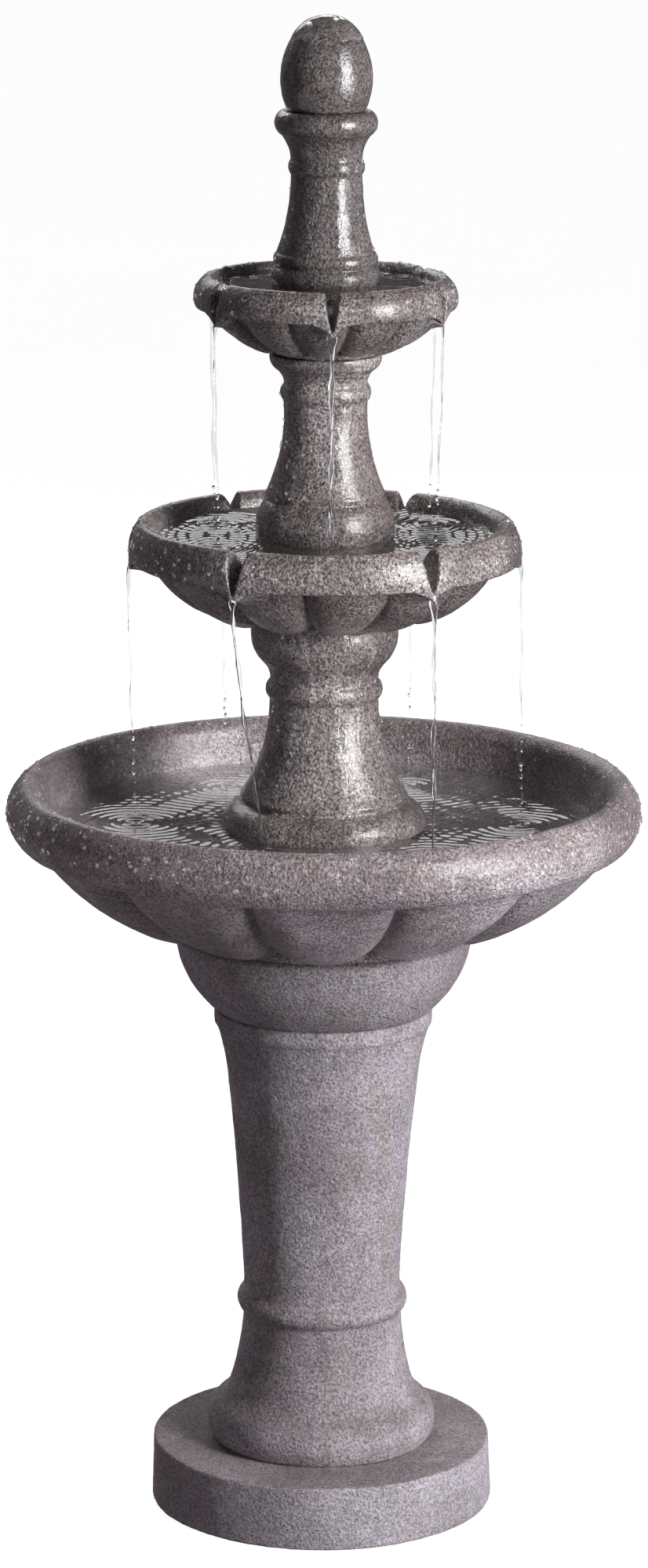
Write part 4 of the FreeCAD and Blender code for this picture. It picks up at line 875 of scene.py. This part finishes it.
def fall(tier, number, level, stream):
    """The water that leaves one spout: from the basin through the notch, over the lip and down
    to a level. Its foot ends inward of the lip and aside of it; where it breaks, as a share of
    the drop, it goes on as beads. Gives its parts and where it lands."""
    bearing = spout_bearing(tier, number)
    seed = number * 1.7
    centres, widths, depths = through_notch(tier, bearing, stream.width)
    turns = [0.0] * len(centres)
    lip_r, lip_z = tier.lip
    drop = lip_z - level
    end = stream.breaks or 1.0
    steps = round(drop * end / 2.5)
    side = direction(bearing + 90, 1) / MM
    for i in range(1, steps + 1):
        down = drop * end * i / steps
        share = down / drop
        wave = min(1.0, down / 70)
        wobble = np.array((math.sin(down / 11 + seed), math.sin(down / 7 + seed * 2), 0)) * wave
        r = lip_r + 1.6 * (1 - math.exp(-down / 6)) - stream.inward * share ** 1.3
        place = direction(bearing, r, lip_z - down) + side * stream.aside * share ** 1.3 * MM
        centres.append(place + wobble * 0.7 * MM)
        slim = 0.55 + 0.45 * math.exp(-down / 30)
        swell = 1 + 0.32 * math.sin(down / 5.5 + seed) + 0.2 * math.sin(down / 2.7 + seed * 3)
        widths.append(stream.width * slim * swell)
        depths.append(stream.width * slim * 0.5)
        turns.append(down / 16 + seed)
    if stream.breaks:
        widths[-1] = depths[-1] = 0.15
        widths[-2] *= 0.6
    parts = [loft(centres, np.array(widths) * MM, np.array(depths) * MM, np.array(turns), side)]
    foot = direction(bearing, lip_r + 1.6 - stream.inward, level) + side * stream.aside * MM
    if stream.breaks:
        parts += broken_foot(place, foot, drop, end)
    return parts + splash(foot), foot[:2] / MM


def falls(name, body, tier, level, streams):
    """All the streams off one bowl as a piece, and where they land."""
    parts, feet = [], []
    for number, stream in enumerate(streams):
        some, foot = fall(tier, number, level, Stream(*stream))
        parts += some
        feet.append(foot)
    wet(new_piece(name, *joined(parts)), body)
    return feet


def trickle(casting, bearing, high, low, width, sway, seed):
    """A thread of water that runs down the outside of a casting. Its path is found by rays sent
    in at each height."""
    mesh = CASTINGS[casting].data
    tree = BVHTree.FromPolygons([v.co for v in mesh.vertices], [p.vertices for p in mesh.polygons])
    centres, widths = [], []
    for height in np.arange(high, low, -1.5):
        turn = bearing + sway * math.sin(height / 23 + seed) + sway * 0.4 * math.sin(height / 7)
        start = Vector(direction(turn, 300, height))
        hit, normal, *_ = tree.ray_cast(start, Vector(direction(turn, -1)).normalized())
        if hit:
            centres.append(np.array(hit) + np.array(normal) * 0.1 * MM)
            widths.append(width * (0.75 + 0.3 * math.sin(height / 9 + seed * 2)))
    side = direction(bearing + 90, 1) / MM
    widths = np.array(widths) * MM
    return loft(centres, widths, np.full(len(widths), 0.5 * MM), np.zeros(len(widths)), side)


def droplets(name, body, casting, count, low, high):
    """Beads of water clinging to a casting between two heights, most of them small."""
    mesh = CASTINGS[casting].data
    total = len(mesh.polygons)
    centres, normals, areas = np.empty(total * 3), np.empty(total * 3), np.empty(total)
    mesh.polygons.foreach_get("center", centres)
    mesh.polygons.foreach_get("normal", normals)
    mesh.polygons.foreach_get("area", areas)
    centres, normals = centres.reshape(-1, 3), normals.reshape(-1, 3)
    wanted = (centres[:, 2] > low * MM) & (centres[:, 2] < high * MM) & (normals[:, 2] > -0.3)
    chance = np.where(wanted, areas, 0)
    ball_mesh = bmesh.new()
    bmesh.ops.create_icosphere(ball_mesh, subdivisions=1, radius=1.0)
    shape = np.array([v.co for v in ball_mesh.verts])
    shape_faces = [[v.index for v in f.verts] for f in ball_mesh.faces]
    ball_mesh.free()
    parts = []
    for face in RANDOM.choice(total, count, p=chance / chance.sum()):
        normal = normals[face]
        side = np.cross(normal, (0.3, 0.5, 0.8))
        side /= np.linalg.norm(side)
        other = np.cross(normal, side)
        size = (SMALLEST_DROP + (LARGEST_DROP - SMALLEST_DROP) * RANDOM.random() ** 2.2) * MM
        tall = size * RANDOM.uniform(0.45, 0.7)
        jitter = side * RANDOM.normal(0, 0.6) + other * RANDOM.normal(0, 0.6)
        points = (centres[face] + jitter * MM + shape[:, :1] * side * size
                  + shape[:, 1:2] * other * size * RANDOM.uniform(0.9, 1.3)
                  + shape[:, 2:] * normal * tall)
        parts.append((points, shape_faces))
    wet(new_piece(name, *joined(parts)), body)


def crown():
    """The water that wells out of the nozzle and runs off the top of the egg."""
    film, _ = trace(EGG_TOP, 1.0)
    film = film[film[:, 0] >= 7]
    film = film[:np.argmax(film[:, 1]) + 1]
    centre = np.array((0.0, 1189.5))
    away = (film - centre) / np.linalg.norm(film - centre, axis=1)[:, None]
    thick = np.linspace(0.25, 2.2, len(film))[:, None]
    dome = [(5.0, 1221.2), (2.5, 1221.6), (0.0, 1221.7)]
    under = [(0.0, 1218.9), *(film[::-1] - away[::-1] * 0.4)]
    outline = np.vstack((film + away * thick, dome, under))
    columns = 120
    radius = np.repeat(outline[:, :1], columns, 1)
    height = np.repeat(outline[:, 1:], columns, 1)
    piece = revolve("crown_water", radius, height, all_round(len(outline), columns), True)
    merge_doubles(piece)
    points = coordinates(piece)
    points[:, 2] += lumps(points, 0.007, 21) * 0.0006
    piece.data.vertices.foreach_set("co", points.ravel())
    wet(piece, "finial")


def all_water():
    """Streams are (inward, aside, width, breaks), from the first spout round to the right."""
    upper_feet = falls("upper_streams", "upper_bowl", UPPER, MIDDLE.water,
                       [(4, 0, 3.2, None), (6, 1, 1.7, 0.72), (4, 0, 1.4, 0.8),
                        (4, 0, 1.5, 0.85), (4, 0, 1.4, 0.8), (3, 2, 1.7, 0.75)])
    middle_feet = falls("middle_streams", "middle_bowl", MIDDLE, LOWER.water,
                        [(4, 4, 2.8, None), (-2, -8, 1.7, 0.6), (6, 0, 1.4, 0.6),
                         (8, 0, 1.4, 0.6), (6, -8, 1.7, 0.65), (58, 0, 2.8, None)])
    basin_water("upper_water", "upper_bowl", UPPER, [], 1.5)
    basin_water("middle_water", "middle_bowl", MIDDLE, upper_feet, 1.8)
    basin_water("lower_water", "lower_bowl", LOWER, middle_feet, 2.1)
    crown()
    threads = [trickle("lower_stem", 16, 738, 572, 2.6, 2.5, 0.4),
               trickle("lower_stem", 39, 735, 600, 1.4, 2.0, 2.0),
               trickle("lower_stem", -14, 736, 640, 1.2, 2.0, 3.0)]
    wet(new_piece("lower_stem_trickles", *joined(threads)), "lower_stem")
    droplets("lower_bowl_drops", "lower_bowl", "lower_bowl", 1700, 573, 612)
    droplets("lower_stem_drops", "lower_stem", "lower_stem", 420, 574, 736)
    droplets("middle_bowl_drops", "middle_bowl", "middle_bowl", 750, 790, 822)
    droplets("middle_stem_drops", "middle_stem", "middle_stem", 260, 812, 950)
    droplets("upper_bowl_drops", "upper_bowl", "upper_bowl", 330, 994, 1018)
    droplets("finial_drops", "finial", "finial_stem", 110, 1015, 1140)


all_water()


# Fittings that keep their CAD shape


FITTINGS = {
    moulded("zinc_steel", (0.50, 0.51, 0.53), (0.66, 0.66, 0.65), 0.38, 1.0):
        ("plinth_bolts", "plinth_washers"),
    moulded("black_rubber", (0.016, 0.016, 0.016), (0.032, 0.031, 0.03), 0.72):
        ("plinth_cord_grommet", "middle_hub_seal", "upper_hub_seal", "drain_plug",
         "bowl_cord_seal", "shaft_bushes", "suction_feet", "pump_cord_gland"),
    moulded("black_plastic", (0.018, 0.018, 0.02), (0.035, 0.035, 0.038), 0.42):
        ("water_outlet", "pump_casing", "volute_cover", "intake_strainer"),
    moulded("clear_vinyl", (0.70, 0.74, 0.73), (0.80, 0.83, 0.82), 0.18,
            Transmission_Weight=0.55, IOR=1.5): ("supply_hose",),
    wound("core_steel", (0.20, 0.20, 0.21), (0.42, 0.42, 0.43), 0.45): ("stator_core",),
    wound("copper_winding", (0.38, 0.14, 0.05), (0.75, 0.36, 0.16), 0.3): ("stator_coil",),
    moulded("epoxy", (0.03, 0.03, 0.032), (0.055, 0.052, 0.05), 0.2): ("potting",),
    moulded("shaft_ceramic", (0.78, 0.77, 0.72), (0.88, 0.87, 0.83), 0.25): ("rotor_shaft",),
    moulded("ferrite", (0.07, 0.07, 0.075), (0.12, 0.12, 0.125), 0.55, 0.4): ("rotor_magnet",),
    moulded("white_plastic", (0.72, 0.72, 0.70), (0.82, 0.82, 0.80), 0.4): ("impeller",),
    moulded("blue_plastic", (0.03, 0.11, 0.34), (0.05, 0.17, 0.45), 0.4): ("flow_dial",),
}
for material, names in FITTINGS.items():
    for name in names:
        dress(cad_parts[name], material)


# Stage, light and camera


def area_light(name, bearing, distance, height, aim, size, power, colour=(1, 1, 1)):
    """A soft box on a stand at a bearing from the fountain, aimed at a height on its axis."""
    lamp = bpy.data.lights.new(name, "AREA")
    lamp.shape = "RECTANGLE"
    lamp.size, lamp.size_y = size
    lamp.energy = power
    lamp.color = colour
    stand = bpy.data.objects.new(name, lamp)
    stand.location = direction(bearing, distance / MM, height / MM)
    facing = Vector((0, 0, aim)) - stand.location
    stand.rotation_euler = facing.to_track_quat("-Z", "Y").to_euler()
    bpy.context.scene.collection.objects.link(stand)
    return stand


STUDIO = 45  # the wall's radius and height: past the cameras of all views, and within their sight
STUDIO_SIDES = 96
EYE = (0, -4.306, 1.6295)
LOOK_DOWN = math.radians(13.4)
LEAN = math.radians(0.23)


def stage():
    """A floor and a round wall that glow a plain near-white, and a dim pinkish surrounding."""
    look = Look("pale_floor")
    cloud = look.noise(0.8, 2.0)
    look.set(Base_Color=look.ramp(cloud, (0.3, grey(0.09)), (0.7, grey(0.12))), Roughness=0.9,
             Emission_Color=(1, 1, 1, 1), Emission_Strength=0.96)
    turns = np.arange(STUDIO_SIDES) * math.tau / STUDIO_SIDES
    ring = [(STUDIO * math.sin(a), STUDIO * math.cos(a)) for a in turns]
    walls = [(i, (i + 1) % STUDIO_SIDES, (i + 1) % STUDIO_SIDES + STUDIO_SIDES, i + STUDIO_SIDES)
             for i in range(STUDIO_SIDES)]
    floor = new_piece("floor", [(x, y, z) for z in (0, STUDIO) for x, y in ring],
                      [tuple(range(STUDIO_SIDES))[::-1], *walls])
    dress(floor, look.material)
    floor.visible_diffuse = False
    floor.visible_glossy = False
    world = bpy.data.worlds.new("studio")
    world.use_nodes = True
    background = world.node_tree.nodes["Background"]
    background.inputs["Color"].default_value = (1.0, 0.87, 0.93, 1)
    background.inputs["Strength"].default_value = 0.11
    bpy.context.scene.world = world
    bpy.context.scene.view_settings.view_transform = "Standard"


def camera():
    """The camera that matches the photo best over the whole height."""
    lens = bpy.data.cameras.new("camera")
    lens.sensor_width = 36
    lens.lens = 125.86
    eye = bpy.data.objects.new("camera", lens)
    eye.location = EYE
    eye.rotation_mode = "QUATERNION"
    level = Vector((0, math.cos(LOOK_DOWN), -math.sin(LOOK_DOWN))).to_track_quat("-Z", "Y")
    eye.rotation_quaternion = level @ Quaternion((0, 0, 1), LEAN)
    bpy.context.scene.collection.objects.link(eye)
    bpy.context.scene.camera = eye


stage()
area_light("key", 58, 2.6, 1.35, 0.75, (1.1, 2.4), 72)
area_light("strip", 50, 2.5, 1.35, 0.8, (0.3, 1.7), 66)
area_light("back", 194, 4.0, 2.95, 0.8, (3.0, 1.6), 42)
# The rear light only brightens views from behind: nothing mirrors it or shows it through water.
rear = area_light("rear", 190, 3.5, 1.2, 0.7, (2.2, 2.2), 75)
rear.visible_camera = rear.visible_glossy = rear.visible_transmission = False
area_light("bounce", -62, 1.5, 0.22, 0.03, (1.5, 0.5), 2.3, (1.0, 0.94, 1.0))
camera()
